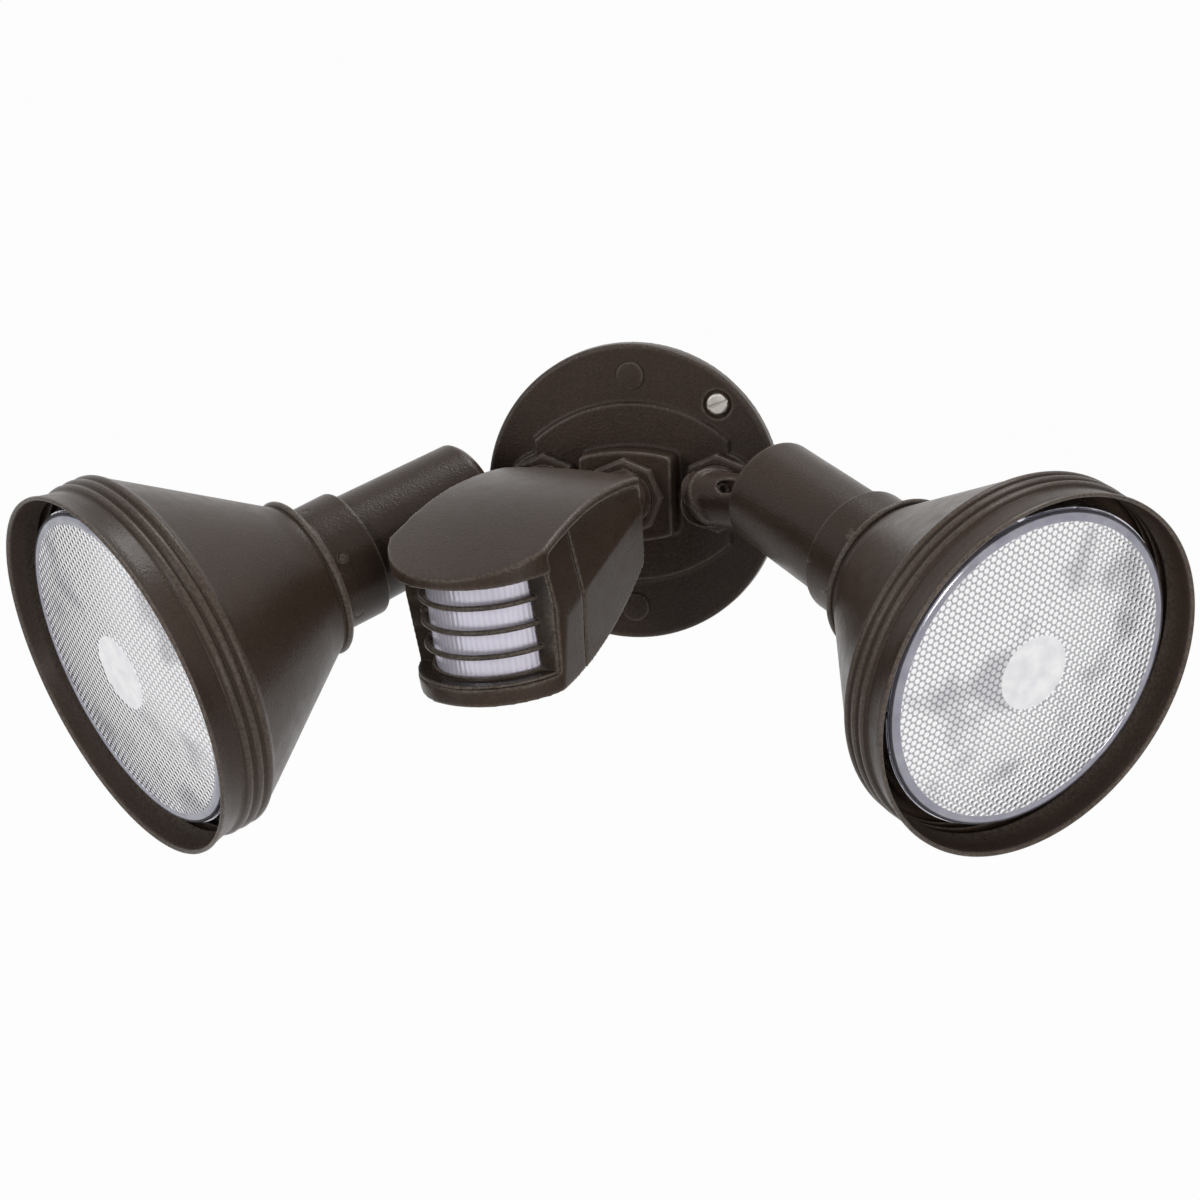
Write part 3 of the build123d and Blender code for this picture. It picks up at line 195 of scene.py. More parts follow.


# %% [markdown]
# ## Finishes
# Nearly every piece wears one dark bronze powder coat. Powder coat is never flat: it has a fine
# orange-peel skin and faint cloudiness in colour, and a paler bronze is painted along sharp edges
# as a highlight. A small kit of node helpers makes all the finishes, each with its own grain and
# scale.

# %% Small helpers for node trees
class Finish:
    """A material with one Principled shader and the nodes that feed it."""

    def __init__(self, name, color, roughness, metallic=0.0):
        self.material = bpy.data.materials.new(name)
        self.material.use_nodes = True
        self.tree = self.material.node_tree
        self.shader = self.tree.nodes["Principled BSDF"]
        self.shader.inputs["Base Color"].default_value = (*color, 1.0)
        self.shader.inputs["Roughness"].default_value = roughness
        self.shader.inputs["Metallic"].default_value = metallic
        self.coords = self.tree.nodes.new("ShaderNodeTexCoord")

    def node(self, kind, **values):
        made = self.tree.nodes.new(kind)
        for key, value in values.items():
            setattr(made, key, value)
        return made

    def link(self, source, target):
        self.tree.links.new(source, target)

    def noise(self, scale, detail=2.0, source=None):
        made = self.node("ShaderNodeTexNoise")
        made.inputs["Scale"].default_value = scale
        made.inputs["Detail"].default_value = detail
        self.link(source or self.coords.outputs["Object"], made.inputs["Vector"])
        return made.outputs["Fac"]

    def spread(self, value, low, high, from_low=0.3, from_high=0.7):
        made = self.node("ShaderNodeMapRange")
        made.inputs["From Min"].default_value = from_low
        made.inputs["From Max"].default_value = from_high
        made.inputs["To Min"].default_value = low
        made.inputs["To Max"].default_value = high
        self.link(value, made.inputs["Value"])
        return made.outputs["Result"]

    def tint(self, fac, first, second):
        made = self.node("ShaderNodeMix", data_type="RGBA")
        made.inputs[6].default_value = (*first, 1.0)
        made.inputs[7].default_value = (*second, 1.0)
        self.link(fac, made.inputs[0])
        return made.outputs[2]

    def bump(self, height, strength, distance, normal=None):
        made = self.node("ShaderNodeBump")
        made.inputs["Strength"].default_value = strength
        made.inputs["Distance"].default_value = distance
        self.link(height, made.inputs["Height"])
        if normal:
            self.link(normal, made.inputs["Normal"])
        return made.outputs["Normal"]

    def round_edges(self, radius):
        made = self.node("ShaderNodeBevel", samples=4)
        made.inputs["Radius"].default_value = radius
        return made.outputs["Normal"]

    def edge_mask(self, rounded, gain):
        """Near 1 where the rounded normal leaves the face's own, as along an edge."""
        own = self.node("ShaderNodeNewGeometry")
        dot = self.node("ShaderNodeVectorMath", operation="DOT_PRODUCT")
        self.link(rounded, dot.inputs[0])
        self.link(own.outputs["Normal"], dot.inputs[1])
        return self.spread(dot.outputs["Value"], gain, 0.0, 0.75, 0.995)

    def math(self, operation, first, second):
        made = self.node("ShaderNodeMath", operation=operation)
        self.link(first, made.inputs[0])
        self.link(second, made.inputs[1])
        return made.outputs[0]

    def ridge_highlight(self, gain):
        """Rises to the gain where a fine mesh bends outwards, as on a bead or a soft corner, where
        a highlight is painted.
        """
        shape = self.node("ShaderNodeNewGeometry")
        return self.spread(shape.outputs["Pointiness"], 0.0, gain, 0.506, 0.54)


# %% [markdown]
# The coat mixes a darker and a lighter bronze by soft clouds and fine specks. Where an edge is
# sharp or a fine mesh bulges, a paler bronze is painted in flecks as a highlight. Its shine is set
# low, because a strong one would mirror the white room and turn the dark paint grey.

# %% Powder coat over metal and plastic
# The paler bronze of the painted highlight on edges and ridges.
EDGE_HIGHLIGHT_BRONZE = (0.24, 0.20, 0.17, 1.0)
COAT_SHINE = 0.17
CLOUD_DARK = 0.8
CLOUD_LIGHT = 1.22


def powder_coat(name, color, roughness, peel, edge_radius, edge_gain):
    finish = Finish(name, color, roughness)
    finish.shader.inputs["Specular IOR Level"].default_value = COAT_SHINE
    rounded = finish.round_edges(edge_radius)
    dark = tuple(v * CLOUD_DARK for v in color)
    light = tuple(v * CLOUD_LIGHT for v in color)
    cloudy = finish.spread(finish.noise(22.0, 3.0), 0.0, 0.6)
    specks = finish.spread(finish.noise(1500.0, 1.0), -0.3, 0.5, 0.35, 0.65)
    cloud = finish.tint(finish.math("ADD", cloudy, specks), dark, light)
    # Painted highlight: a paler bronze in flecks on sharp edges and on bulging ridges.
    edge = finish.node("ShaderNodeMix", data_type="RGBA")
    edge.inputs[7].default_value = EDGE_HIGHLIGHT_BRONZE
    sharp = finish.edge_mask(rounded, edge_gain)
    mixed_in = finish.math("MAXIMUM", sharp, finish.ridge_highlight(edge_gain))
    flecks = finish.spread(finish.noise(900.0, 3.0), 0.35, 1.0, 0.35, 0.6)
    finish.link(finish.math("MULTIPLY", mixed_in, flecks), edge.inputs[0])
    finish.link(cloud, edge.inputs[6])
    finish.link(edge.outputs[2], finish.shader.inputs["Base Color"])
    rough = finish.spread(finish.noise(160.0, 3.0), roughness - 0.04, roughness + 0.05)
    finish.link(rough, finish.shader.inputs["Roughness"])
    skin = finish.bump(finish.noise(1100.0, 2.0), peel, 0.00025, rounded)
    finish.link(skin, finish.shader.inputs["Normal"])
    return finish.material


BRONZE = (0.060, 0.040, 0.030)
bronze_paint = powder_coat("bronze_powder_coat", BRONZE, 0.31, 0.5, 0.0007, 0.7)
bronze_plastic = powder_coat("bronze_painted_plastic", BRONZE, 0.31, 0.45, 0.0006, 0.6)
bezel_plastic = powder_coat("bronze_bezel", (0.040, 0.029, 0.022), 0.28, 0.3, 0.0004, 0.7)
dark_screw = powder_coat("painted_screw", (0.035, 0.026, 0.02), 0.4, 0.1, 0.0003, 0.6)
print("powder coats made")


# %% [markdown]
# The box screws are zinc plated, and the sockets and bulb bases are stamped from brass and
# rolled metal. Plating is cloudy and is scratched mostly one way, so a noise squeezed along
# one axis gives both its uneven gloss and its fine scratches.

# %% Bare and plated metals
def plated(name, color, roughness, scratch):
    finish = Finish(name, color, roughness, metallic=1.0)
    mixed_in = tuple(v * 0.72 for v in color)
    finish.link(
        finish.tint(finish.spread(finish.noise(260.0, 4.0), 0.0, 1.0), mixed_in, color),
        finish.shader.inputs["Base Color"],
    )
    streak = finish.node("ShaderNodeMapping")
    streak.inputs["Scale"].default_value = (1.0, 1.0, 14.0)
    finish.link(finish.coords.outputs["Object"], streak.inputs["Vector"])
    marks = finish.noise(900.0, 3.0, streak.outputs[0])
    finish.link(
        finish.spread(marks, roughness * 0.8, roughness * 1.3), finish.shader.inputs["Roughness"]
    )
    finish.link(
        finish.bump(marks, scratch, 0.00008, finish.round_edges(0.0003)),
        finish.shader.inputs["Normal"],
    )
    return finish.material


zinc_screw = plated("zinc_plate", (0.50, 0.47, 0.43), 0.42, 0.45)
brass = plated("stamped_brass", (0.75, 0.58, 0.28), 0.3, 0.2)
bulb_base_metal = plated("rolled_bulb_base", (0.72, 0.62, 0.42), 0.32, 0.3)
metal_can = plated("drawn_steel_can", (0.66, 0.66, 0.64), 0.25, 0.15)
print("metals made")


# %% [markdown]
# Seals, sockets, dials and the parts on the board are moulded. They need only a slight change
# of tone, a gloss that is not quite even, and a grain as fine as the mould's own.

# %% Rubber and moulded plastics
def moulded(name, color, roughness, grain, relief):
    finish = Finish(name, color, roughness)
    low = tuple(v * 0.85 for v in color)
    finish.link(
        finish.tint(finish.spread(finish.noise(90.0, 3.0), 0.0, 1.0), low, color),
        finish.shader.inputs["Base Color"],
    )
    fine = finish.noise(grain, 2.0)
    finish.link(
        finish.spread(fine, roughness - 0.05, roughness + 0.06), finish.shader.inputs["Roughness"]
    )
    finish.link(
        finish.bump(fine, relief, 0.0001, finish.round_edges(0.0003)),
        finish.shader.inputs["Normal"],
    )
    return finish.material


gasket_rubber = moulded("gasket_rubber", (0.018, 0.018, 0.018), 0.75, 700.0, 0.35)
socket_phenolic = moulded("black_phenolic", (0.03, 0.026, 0.022), 0.35, 900.0, 0.15)
circuit_green = moulded("solder_resist", (0.03, 0.16, 0.06), 0.3, 420.0, 0.2)
photocell_resin = moulded("photocell_resin", (0.5, 0.2, 0.1), 0.2, 500.0, 0.05)
relay_case = moulded("relay_case", (0.03, 0.06, 0.2), 0.3, 800.0, 0.1)
capacitor_sleeve = moulded("capacitor_sleeve", (0.02, 0.025, 0.05), 0.28, 600.0, 0.06)
dial_blue = moulded("dial_body_blue", (0.04, 0.1, 0.32), 0.4, 700.0, 0.1)
dial_knob_plastic = moulded("dial_knob_plastic", (0.05, 0.038, 0.03), 0.4, 900.0, 0.15)
print("plastics made")


# %% [markdown]
# ## Pressed glass
# A flood lamp's face is thick pressed glass. Its inside is covered with small round lenses laid
# out like a honeycomb, which smear the light of the filament. Three sets of waves, each turned
# by 60 degrees, add up to exactly such a honeycomb, so the relief needs no modelled bumps. The
# waves follow the lens's own UV map, drawn in metres across its face. Unlit, such a face shows
# mostly its silvered bowl, so the glass is mixed with a large share of mirror. Its colour carries
# painted shade as thin dark lines between the lenses, and painted reflection as broad dark lobes.

# %% Honeycomb glass for the bulb's face
LENSLET_PITCH = 0.0027


def honeycomb(finish, pitch):
    """Height of round lenses in a honeycomb, from 0 to 1, over the UV map in metres."""
    total = None
    for angle in (0.0, 60.0, 120.0):
        bearing = math.radians(angle)
        wave = 2.0 * math.pi / (pitch * math.cos(math.radians(30.0)))
        across = finish.node("ShaderNodeVectorMath", operation="DOT_PRODUCT")
        across.inputs[1].default_value = (wave * math.cos(bearing), wave * math.sin(bearing), 0.0)
        finish.link(finish.coords.outputs["UV"], across.inputs[0])
        cosine = finish.node("ShaderNodeMath", operation="COSINE")
        finish.link(across.outputs["Value"], cosine.inputs[0])
        if total is None:
            total = cosine.outputs[0]
        else:
            added = finish.node("ShaderNodeMath", operation="ADD")
            finish.link(total, added.inputs[0])
            finish.link(cosine.outputs[0], added.inputs[1])
            total = added.outputs[0]
    return finish.spread(total, 0.0, 1.0, -1.5, 3.0)


lens_glass_finish = Finish("honeycomb_glass", (0.97, 0.97, 0.98), 0.12, metallic=0.9)
lens_glass_finish.shader.inputs["Transmission Weight"].default_value = 0.85
lens_glass_finish.shader.inputs["IOR"].default_value = 1.47
cells = honeycomb(lens_glass_finish, LENSLET_PITCH)
# Painted reflection and shade: broad dark lobes and thin dark lines between the lenses darken the
# glass's colour.
dark_reflection_lobes = lens_glass_finish.spread(lens_glass_finish.noise(34.0, 2.0), 0.0, 1.0, 0.34, 0.46)
cell_edge_shade = lens_glass_finish.spread(cells, 0.0, 1.0, 0.06, 0.34)
broad = lens_glass_finish.node("ShaderNodeMix", data_type="RGBA", blend_type="MULTIPLY")
broad.inputs[0].default_value = 1.0
lens_glass_finish.link(
    lens_glass_finish.tint(cell_edge_shade, (0.42, 0.42, 0.45), (1.0, 1.0, 1.0)), broad.inputs[6]
)
lens_glass_finish.link(
    lens_glass_finish.tint(dark_reflection_lobes, (0.68, 0.67, 0.69), (1.0, 1.0, 1.0)), broad.inputs[7]
)
lens_glass_finish.link(broad.outputs[2], lens_glass_finish.shader.inputs["Base Color"])
lens_glass_finish.link(
    lens_glass_finish.bump(cells, 0.6, 0.0006), lens_glass_finish.shader.inputs["Normal"]
)
lens_glass = lens_glass_finish.material
print("lenses", LENSLET_PITCH * 1000.0, "mm apart")

# %% [markdown]
# Round the honeycomb runs a narrow plain rim, which looks a little blue and dark because it is
# thick. The middle of the face is frosted, so it hides the filament and looks evenly bright.

# %% Plain glass for the rim and frosted glass for the middle
rim_finish = Finish("rim_glass", (0.40, 0.40, 0.47), 0.16, metallic=0.5)
rim_finish.shader.inputs["Transmission Weight"].default_value = 0.25
streaks = rim_finish.spread(rim_finish.noise(120.0, 2.0), 0.0, 1.0)
rim_finish.link(
    rim_finish.tint(streaks, (0.33, 0.33, 0.40), (0.47, 0.47, 0.54)),
    rim_finish.shader.inputs["Base Color"],
)
rim_finish.link(
    rim_finish.bump(rim_finish.noise(400.0), 0.1, 0.0002), rim_finish.shader.inputs["Normal"]
)
rim_glass = rim_finish.material

frost_finish = Finish("frosted_middle", (0.93, 0.92, 0.94), 0.3, metallic=0.8)
frost_finish.shader.inputs["Transmission Weight"].default_value = 0.6
mottle = frost_finish.spread(frost_finish.noise(180.0, 3.0), 0.0, 1.0)
frost_finish.link(
    frost_finish.tint(mottle, (0.84, 0.84, 0.88), (1.0, 1.0, 1.0)),
    frost_finish.shader.inputs["Base Color"],
)
frost_finish.link(
    frost_finish.bump(frost_finish.noise(900.0), 0.3, 0.0002), frost_finish.shader.inputs["Normal"]
)
frosted_middle = frost_finish.material
print("rim and frosted middle made")

# %% [markdown]
# Behind the face is a bowl with a thin film of aluminium on it. It is a mirror, but never a
# perfect one, so it gets a slight haze of tone and shallow waves a few millimetres long.

# %% Aluminised mirror behind the glass
mirror_finish = Finish("aluminised_mirror", (0.70, 0.70, 0.74), 0.25, metallic=1.0)
haze = mirror_finish.spread(mirror_finish.noise(60.0, 3.0), 0.0, 1.0)
mirror_finish.link(
    mirror_finish.tint(haze, (0.55, 0.55, 0.60), (0.75, 0.75, 0.80)),
    mirror_finish.shader.inputs["Base Color"],
)
mirror_finish.link(
    mirror_finish.bump(mirror_finish.noise(260.0, 2.0), 0.35, 0.0004),
    mirror_finish.shader.inputs["Normal"],
)
aluminised_mirror = mirror_finish.material
print("mirror made")

# %% [markdown]
# The sensor looks out through a thin milky plastic film with fine ribs on it. A sine wave along
# the film's own UV map gives the ribs, both as relief and as a faint stripe of painted shade,
# lighter on each crest, and some light spreads under the surface as it does in such plastic.

# %% Milky film for the sensor's lens
RIB_PITCH = 0.0021
film_finish = Finish("milky_fresnel_film", (0.86, 0.84, 0.95), 0.22, metallic=0.24)
film_finish.shader.inputs["Subsurface Weight"].default_value = 0.2
film_finish.shader.inputs["Subsurface Radius"].default_value = (0.002, 0.002, 0.002)
u_axis = film_finish.node("ShaderNodeVectorMath", operation="DOT_PRODUCT")
u_axis.inputs[1].default_value = (2.0 * math.pi / RIB_PITCH, 0.0, 0.0)
film_finish.link(film_finish.coords.outputs["UV"], u_axis.inputs[0])
rib_wave = film_finish.node("ShaderNodeMath", operation="SINE")
film_finish.link(u_axis.outputs["Value"], rib_wave.inputs[0])
rib_height = film_finish.spread(rib_wave.outputs[0], 0.0, 1.0, -1.0, 1.0)
# Painted shade: the film's colour is lighter on each rib's crest and darker in its hollow.
film_finish.link(
    film_finish.tint(rib_height, (0.80, 0.78, 0.94), (0.88, 0.86, 1.0)),
    film_finish.shader.inputs["Base Color"],
)
film_finish.link(film_finish.bump(rib_height, 0.25, 0.0003), film_finish.shader.inputs["Normal"])
milky_film = film_finish.material
print("ribs", RIB_PITCH * 1000.0, "mm apart")


# %% [markdown]
# ## From facets to castings
# A measured solid arrives as flat triangles with razor edges. Real castings and mouldings have
# small radii everywhere. We copy the solid, weld its triangles, and pass the copy through a
# fine voxel remesh and a light smoothing, which wears every edge to a soft radius, much as
# tumbling does to a casting. Then we thin the mesh to a sensible size.

# %% Weld and soften a copy of a measured solid
WELD = 0.000002
BODY_OF = {}
for body_name, node_names in frame["record"]["behaviour"]["bodies"].items():
    for node_name in node_names:
        BODY_OF[node_name] = body_name


def welded_copy(node, name):
    """A copy of a CAD node, free of its parent, with its loose triangles welded."""
    bpy.ops.object.select_all(action="DESELECT")
    source = frame["nodes"][node]
    source.select_set(True)
    bpy.context.view_layer.objects.active = source
    bpy.ops.object.duplicate()
    copy = bpy.context.object
    copy.name = name
    bpy.ops.object.parent_clear(type="CLEAR_KEEP_TRANSFORM")
    bpy.ops.object.mode_set(mode="EDIT")
    bpy.ops.mesh.select_all(action="SELECT")
    bpy.ops.mesh.remove_doubles(threshold=WELD)
    bpy.ops.object.mode_set(mode="OBJECT")
    return copy


def stand_in(piece, node, finish):
    """The piece takes the node's place, rides on its body and wears one finish."""
    piece.data.materials.clear()
    piece.data.materials.append(finish)
    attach(piece, BODY_OF[node])
    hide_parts(node)


def apply_modifiers(piece):
    bpy.context.view_layer.objects.active = piece
    for modifier in list(piece.modifiers):
        bpy.ops.object.modifier_apply(modifier=modifier.name)


def softened(node, name, voxel, rounds, keep=0.35):
    """Remeshed copy whose edges are worn to a small radius."""
    piece = welded_copy(node, name)
    remesh = piece.modifiers.new("remesh", "REMESH")
    remesh.mode = "VOXEL"
    remesh.voxel_size = voxel
    smooth = piece.modifiers.new("smooth", "SMOOTH")
    smooth.factor = 0.5
    smooth.iterations = rounds
    thin = piece.modifiers.new("thin", "DECIMATE")
    thin.ratio = keep
    apply_modifiers(piece)
    bpy.ops.object.shade_smooth()
    print(name, len(piece.data.polygons), "faces")
    return piece


def smoothed(node, name, angle=32.0):
    """Welded copy with round faces shaded smooth and its edges left crisp."""
    piece = welded_copy(node, name)
    bpy.ops.object.shade_smooth_by_angle(angle=math.radians(angle))
    print(name, len(piece.data.polygons), "faces")
    return piece


# %% [markdown]
# ## The sensor's housing
# The housing is two plastic mouldings. The front one carries a broad roof that reaches forward
# as a hood and shades the lens from the sun. Its brow is as round as a thumb, so this piece is
# softened more than the others. The rear cover is crisper, with a ridge along each side.

# %% Soften the two mouldings
front_housing = softened("sensor_front_housing", "sensor_hood_and_nose", 0.0007, 9)
stand_in(front_housing, "sensor_front_housing", bronze_plastic)
rear_cover = softened("sensor_rear_cover", "sensor_back_cover", 0.0006, 4)
stand_in(rear_cover, "sensor_rear_cover", bronze_plastic)
bezel = softened("lens_bezel", "window_frame_and_bars", 0.0004, 2)
stand_in(bezel, "lens_bezel", bezel_plastic)


# %% [markdown]
# ## Plate, stems and knuckles
# The cover plate is die cast, with a raised panel and a tall block for the sensor's stem. Each
# arm is a short threaded stem that ends in half a knuckle, locked by an eight-sided nut.

# %% Dress the castings
plate = softened("cover_plate", "wall_plate", 0.0005, 1)
stand_in(plate, "cover_plate", bronze_paint)
nuts = softened("stem_locknuts", "stem_nuts", 0.0004, 1)
stand_in(nuts, "stem_locknuts", bronze_paint)
plugs = softened("hole_plugs", "blind_plugs", 0.0003, 1)
stand_in(plugs, "hole_plugs", bronze_paint)
for node, name in (
    ("lamp_stem_left", "left_arm_stem"),
    ("lamp_stem_right", "right_arm_stem"),
    ("sensor_stem", "sensor_arm_stem"),
):
    stand_in(softened(node, name, 0.0004, 2), node, bronze_paint)
for side in ("left", "right"):
    holder = softened(f"lampholder_{side}", f"{side}_lampholder_tube", 0.0006, 3)
    stand_in(holder, f"lampholder_{side}", bronze_paint)
    collar = softened(f"shade_collar_{side}", f"{side}_collar", 0.0004, 2)
    stand_in(collar, f"shade_collar_{side}", bronze_paint)


# %% [markdown]
# ## Placing a lamp head
# Each lamp looks along its own slanted line. We work at the origin, with the lamp's axis on Z,
# and then carry the finished piece to its place with one matrix. The numbers are those of the
# measured model: how far the head turns and dips, and where its tube begins.

# %% The lamp's own frame
HEADS = {
    "left": {"azimuth": -49.7, "elevation": -19.9, "turn": 53.0, "side": -1.0},
    "right": {"azimuth": 50.9, "elevation": -19.4, "turn": 46.0, "side": 1.0},
}
KNUCKLE_X = 0.0315
KNUCKLE_Y = -0.02282878
HEAD_OFF = 0.01485
HEAD_AHEAD = 0.0194


def facing(azimuth, elevation):
    az = math.radians(azimuth)
    el = math.radians(elevation)
    return Vector((math.sin(az) * math.cos(el), -math.cos(az) * math.cos(el), math.sin(el)))


def basis(x_axis, y_axis, z_axis, origin):
    rows = Matrix((x_axis, y_axis, z_axis)).transposed().to_4x4()
    return Matrix.Translation(origin) @ rows


def lamp_place(side):
    head = HEADS[side]
    axis = facing(head["azimuth"], head["elevation"])
    az = math.radians(head["azimuth"])
    across = Vector((math.cos(az), math.sin(az), 0.0))
    upward = across.cross(-axis)
    swing = math.radians(head["turn"])
    joint = Vector((head["side"] * KNUCKLE_X, KNUCKLE_Y, 0.0))
    rear = joint + across * (head["side"] * HEAD_OFF * math.sin(swing))
    rear += upward * (HEAD_OFF * math.cos(swing)) + axis * HEAD_AHEAD
    return basis(across, axis.cross(across), axis, rear)


for side, head in HEADS.items():
    looks = facing(head["azimuth"], head["elevation"])
    print(side, "lamp looks along", [round(v, 3) for v in looks])


# %% [markdown]
# ## Spinning sheet metal
# A shade is a disc of sheet metal pressed over a turning former. We do the same: draw half its
# outline as a chain of points, then sweep the chain round the axis. The outline runs up the
# outside and back down the inside, so the wall has its true thickness. Rounded beads stiffen
# the rim, and each is drawn with eight points so that its highlight is a clean line.

# %% Draw an outline and spin it
MM_PER_METRE = 1000.0
SEAM_WELD = 0.000004


def outline_object(name, points):
    """A chain of edges in the XZ plane, drawn by extruding one vertex from point to point."""
    bpy.ops.object.select_all(action="DESELECT")
    bpy.ops.mesh.primitive_plane_add(size=0.001)
    chain = bpy.context.object
    chain.name = name
    bpy.ops.object.mode_set(mode="EDIT")
    bpy.ops.mesh.select_all(action="SELECT")
    bpy.ops.mesh.merge(type="CENTER")
    start = points[0]
    bpy.ops.transform.translate(value=(start[0], 0.0, start[1]))
    for before, after in zip(points[:-1], points[1:]):
        step = (after[0] - before[0], 0.0, after[1] - before[1])
        bpy.ops.mesh.extrude_region_move(TRANSFORM_OT_translate={"value": step})
    bpy.ops.object.mode_set(mode="OBJECT")
    return chain


def spun(name, points, steps=120, closed=True):
    """The outline swept once round Z, welded, with its faces pointing outwards."""
    ring = list(points) + [points[0]] if closed else list(points)
    piece = outline_object(name, [(r / MM_PER_METRE, z / MM_PER_METRE) for r, z in ring])
    bpy.ops.object.mode_set(mode="EDIT")
    bpy.ops.mesh.select_all(action="SELECT")
    bpy.ops.mesh.spin(steps=steps, angle=2.0 * math.pi, center=(0, 0, 0), axis=(0, 0, 1))
    bpy.ops.mesh.select_all(action="SELECT")
    bpy.ops.mesh.remove_doubles(threshold=SEAM_WELD)
    bpy.ops.mesh.normals_make_consistent(inside=False)
    bpy.ops.object.mode_set(mode="OBJECT")
    bpy.ops.object.shade_smooth_by_angle(angle=math.radians(38.0))
    return piece


def settle(piece, matrix):
    """Put a finished piece in its place and leave the place in its mesh."""
    bpy.ops.object.select_all(action="DESELECT")
    piece.select_set(True)
    bpy.context.view_layer.objects.active = piece
    piece.matrix_world = matrix
    bpy.context.view_layer.update()
    bpy.ops.object.transform_apply(location=True, rotation=True, scale=True)


# %% The shade's outline, in millimetres
SHADE_WALL = 1.3
SHADE_REAR = 68.2
ROLL_R = 1.45
NECK_HOLE_R = 23.5
NECK_R = 28.2
CORNER = (66.1, 126.8)
BEADS = 3
BEAD_WIDTH = 4.3
BEAD_RISE = 1.2
BEAD_STEPS = 8
BAND_MID = (67.9, 145.2)
RIM = (69.3, 150.8)


def bead_points(offset):
    """Three rounded beads between the cone and the plain band at the rim."""
    points = []
    for bead in range(BEADS):
        for step in range(1, BEAD_STEPS + 1):
            share = step / BEAD_STEPS
            rise = math.sin(math.pi * share) ** 0.8 * (BEAD_RISE + 0.1)
            base_r = CORNER[0] + 0.6 * min(1.0, bead + share)
            points.append((base_r + rise - offset, CORNER[1] + (bead + share) * BEAD_WIDTH))
    return points


def shade_points():
    outside = [(NECK_HOLE_R, SHADE_REAR), (NECK_R - 1.0, SHADE_REAR)]
    for step in range(0, 9):
        bend = math.radians(-90.0 + 22.5 * step)
        roll_z = SHADE_REAR + 1.5 + ROLL_R * math.sin(bend)
        outside.append((NECK_R + ROLL_R * math.cos(bend), roll_z))
    cone_foot = (NECK_R, SHADE_REAR + 3.2)
    outside.append(cone_foot)
    for step in range(1, 6):
        share = step / 6.0
        cone_r = cone_foot[0] + (CORNER[0] - cone_foot[0]) * share
        cone_z = cone_foot[1] + (CORNER[1] - cone_foot[1]) * share
        outside.append((cone_r, cone_z))
    outside.append((CORNER[0] - 0.9, CORNER[1] - 1.2))
    outside += [(CORNER[0], CORNER[1])] + bead_points(0.0)
    band_end = (RIM[0] - 0.35, RIM[1] - 1.6)
    hem = [(RIM[0], RIM[1] - 1.2), (RIM[0] - 0.1, RIM[1] - 0.3), (RIM[0] - 0.6, RIM[1])]
    hem += [(RIM[0] - 1.2, RIM[1] - 0.2), (RIM[0] - 1.6, RIM[1] - 0.8)]
    inside = [(RIM[0] - 1.7, RIM[1] - 1.8), (BAND_MID[0] - SHADE_WALL, BAND_MID[1])]
    inside += list(reversed(bead_points(SHADE_WALL)))
    inside += [(CORNER[0] - SHADE_WALL, CORNER[1]), (NECK_R - SHADE_WALL, SHADE_REAR + 3.0)]
    disc_z = SHADE_REAR + SHADE_WALL
    inside += [(NECK_R - SHADE_WALL - 0.4, disc_z), (NECK_HOLE_R, disc_z)]
    return outside + [BAND_MID, band_end] + hem + inside


for side in ("left", "right"):
    shade = spun(f"{side}_spun_shade", shade_points(), steps=160)
    settle(shade, lamp_place(side))
    stand_in(shade, f"shade_{side}", bronze_paint)
    print(shade.name, len(shade.data.polygons), "faces")


# %% [markdown]
# ## The flood lamp's face
# The glass face is a shallow dome with three zones: a smooth frosted disc in the middle, the
# honeycomb, and a plain rim where the face is fused to the reflector. One spun shell carries
# all three, and each face of it picks its glass by how far it lies from the axis.

# %% Spin the glass face and give it its zones
FACE_BACK = 142.8
FACE_EDGE = 145.0
FACE_CROWN = 3.0
FACE_R = 60.0
HONEYCOMB_R = 56.2
INSIDE_R = 57.5
SHOULDER_R = 58.4
GLASS_T = 2.3
MIDDLE_R = 14.2
MIDDLE_LIFT = 0.25
FACE_STEPS = 24


def dome(r):
    return FACE_EDGE + FACE_CROWN * (1.0 - (r / FACE_R) ** 2)


def face_points():
    front = []
    for step in range(FACE_STEPS + 1):
        r = HONEYCOMB_R * step / FACE_STEPS
        lift = MIDDLE_LIFT if r < MIDDLE_R - 0.5 else 0.0
        front.append((r, dome(r) + lift - 0.3))
    step_r = HONEYCOMB_R + 0.5
    front += [(step_r, dome(step_r) + 0.1), (SHOULDER_R, dome(SHOULDER_R) + 0.2)]
    front.append((FACE_R - 0.5, FACE_EDGE - 0.2))
    front += [(FACE_R, FACE_EDGE - 1.0), (FACE_R, FACE_BACK)]
    back = []
    for step in range(FACE_STEPS, -1, -1):
        r = INSIDE_R * step / FACE_STEPS
        back.append((r, dome(r) - GLASS_T))
    return front + back


def zone_of(radius):
    if radius < MIDDLE_R:
        return 2
    return 0 if radius < HONEYCOMB_R else 1


for side in ("left", "right"):
    face = spun(f"{side}_bulb_face", face_points(), steps=96, closed=False)
    face.data.uv_layers.new(name="across_face")
    uv = face.data.uv_layers.active.data
    for loop in face.data.loops:
        at = face.data.vertices[loop.vertex_index].co
        uv[loop.index].uv = (at.x, at.y)
    stand_in(face, f"bulb_lens_{side}", lens_glass)
    face.data.materials.append(rim_glass)
    face.data.materials.append(frosted_middle)
    for polygon in face.data.polygons:
        radius = math.hypot(polygon.center.x, polygon.center.y) * MM_PER_METRE
        polygon.material_index = zone_of(radius)
    bpy.ops.object.shade_smooth()
    settle(face, lamp_place(side))
    print(face.name, len(face.data.polygons), "faces")

# %% [markdown]
# The bowl behind the glass keeps its measured shape. Only its shading changes, so that the round
# of the bowl reflects smoothly and its edges stay crisp.

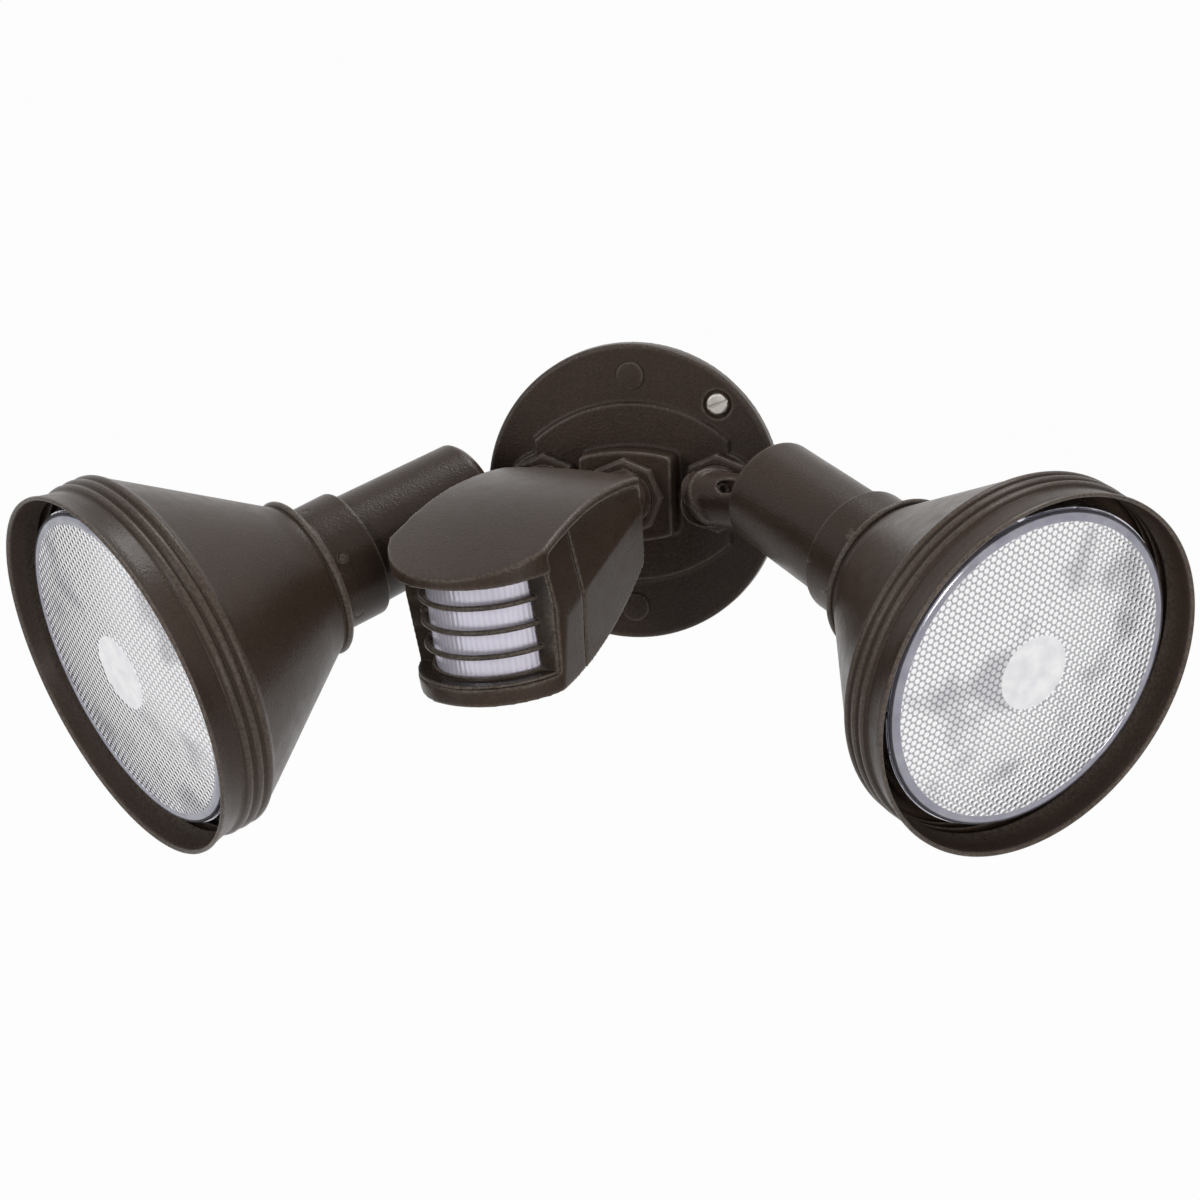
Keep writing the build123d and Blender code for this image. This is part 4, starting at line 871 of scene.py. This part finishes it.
# %% Smooth the mirror bowl behind it
for side in ("left", "right"):
    mirror = smoothed(f"bulb_reflector_{side}", f"{side}_mirror_bowl", 40.0)
    stand_in(mirror, f"bulb_reflector_{side}", aluminised_mirror)


# %% [markdown]
# ## The sensor's lens
# Behind the bars is a thin milky film, bent round an arc, with fine upright ribs that gather
# heat rays from many directions. We extrude a short edge, spin it through the arc, and give it
# a UV map whose first number is the distance along the arc, so the ribs stay upright.

# %% Spin the ribbed film
SENSOR_AZ = -21.9
SENSOR_EL = -12.0
SENSOR_JOINT_Y = -0.03482878
SENSOR_REACH = 0.0786
SENSOR_LIFT = 0.010
FILM_R = 24.1
FILM_T = 0.8
FILM_HALF_ANGLE = 71.5
FILM_LOW = -19.1
FILM_HIGH = 18.4
FILM_STEPS = 72


def sensor_place():
    ahead = facing(SENSOR_AZ, SENSOR_EL)
    az = math.radians(SENSOR_AZ)
    across = Vector((math.cos(az), math.sin(az), 0.0))
    upward = across.cross(-ahead)
    origin = Vector((0.0, SENSOR_JOINT_Y, 0.0)) + ahead * SENSOR_REACH - upward * SENSOR_LIFT
    return basis(across, -ahead, upward, origin)


def ribbed_film():
    inner = FILM_R - FILM_T
    corners = [(FILM_R, FILM_LOW), (FILM_R, FILM_HIGH), (inner, FILM_HIGH), (inner, FILM_LOW)]
    closed = corners + corners[:1]
    film = outline_object(
        "ribbed_film", [(r / MM_PER_METRE, z / MM_PER_METRE) for r, z in closed]
    )
    bpy.ops.object.mode_set(mode="EDIT")
    bpy.ops.mesh.select_all(action="SELECT")
    bpy.ops.mesh.remove_doubles(threshold=SEAM_WELD)
    bpy.ops.mesh.edge_face_add()
    sweep = math.radians(2.0 * FILM_HALF_ANGLE)
    bpy.ops.mesh.spin(steps=FILM_STEPS, angle=sweep, center=(0, 0, 0), axis=(0, 0, 1))
    bpy.ops.mesh.select_all(action="SELECT")
    bpy.ops.mesh.remove_doubles(threshold=SEAM_WELD)
    bpy.ops.mesh.normals_make_consistent(inside=False)
    bpy.ops.object.mode_set(mode="OBJECT")
    return film


film = ribbed_film()
middle = sum((v.co for v in film.data.vertices), Vector()) / len(film.data.vertices)
mid_angle = math.atan2(middle.y, middle.x)
print("the arc's middle lies at", round(math.degrees(mid_angle), 1), "degrees")
film.data.uv_layers.new(name="along_arc")
for loop in film.data.loops:
    at = film.data.vertices[loop.vertex_index].co
    from_middle = Matrix.Rotation(-mid_angle, 3, "Z") @ at
    along = math.atan2(from_middle.y, from_middle.x) * FILM_R / MM_PER_METRE
    film.data.uv_layers.active.data[loop.index].uv = (along, at.z)
face_ahead = Matrix.Rotation(math.radians(-90.0) - mid_angle, 4, "Z")
settle(film, sensor_place() @ face_ahead)
stand_in(film, "fresnel_lens", milky_film)
bpy.ops.object.shade_smooth_by_angle(angle=math.radians(30.0))


# %% [markdown]
# ## Pieces that keep their measured shape
# Screws, gaskets and the parts inside the housing are small or hidden, and their measured
# shapes are right as they are. They only change finish.

# %% Dress the remaining nodes
PLAIN_FINISH = {
    "wall_gasket": gasket_rubber,
    "sensor_seam_seal": gasket_rubber,
    "box_screws": zinc_screw,
    "sensor_cover_screws": zinc_screw,
    "board_screws": zinc_screw,
    "sensor_knuckle_screw": dark_screw,
    "circuit_board": circuit_green,
    "pir_detector": metal_can,
    "photocell": photocell_resin,
    "relay": relay_case,
    "capacitor": capacitor_sleeve,
    "dial_bodies": dial_blue,
    "time_dial": dial_knob_plastic,
    "range_dial": dial_knob_plastic,
}
for side in ("left", "right"):
    PLAIN_FINISH[f"bulb_seal_{side}"] = gasket_rubber
    PLAIN_FINISH[f"bulb_base_{side}"] = bulb_base_metal
    PLAIN_FINISH[f"socket_body_{side}"] = socket_phenolic
    PLAIN_FINISH[f"socket_screws_{side}"] = zinc_screw
    PLAIN_FINISH[f"socket_shell_{side}"] = brass
    PLAIN_FINISH[f"socket_contact_{side}"] = brass
    PLAIN_FINISH[f"collar_screws_{side}"] = dark_screw
    PLAIN_FINISH[f"lamp_knuckle_screw_{side}"] = dark_screw
for node_name, finish in PLAIN_FINISH.items():
    node = frame["nodes"][node_name]
    if not node.material_slots:
        node.data.materials.append(finish)
    for place in node.material_slots:
        place.material = finish
print(len(PLAIN_FINISH), "nodes keep their shape")
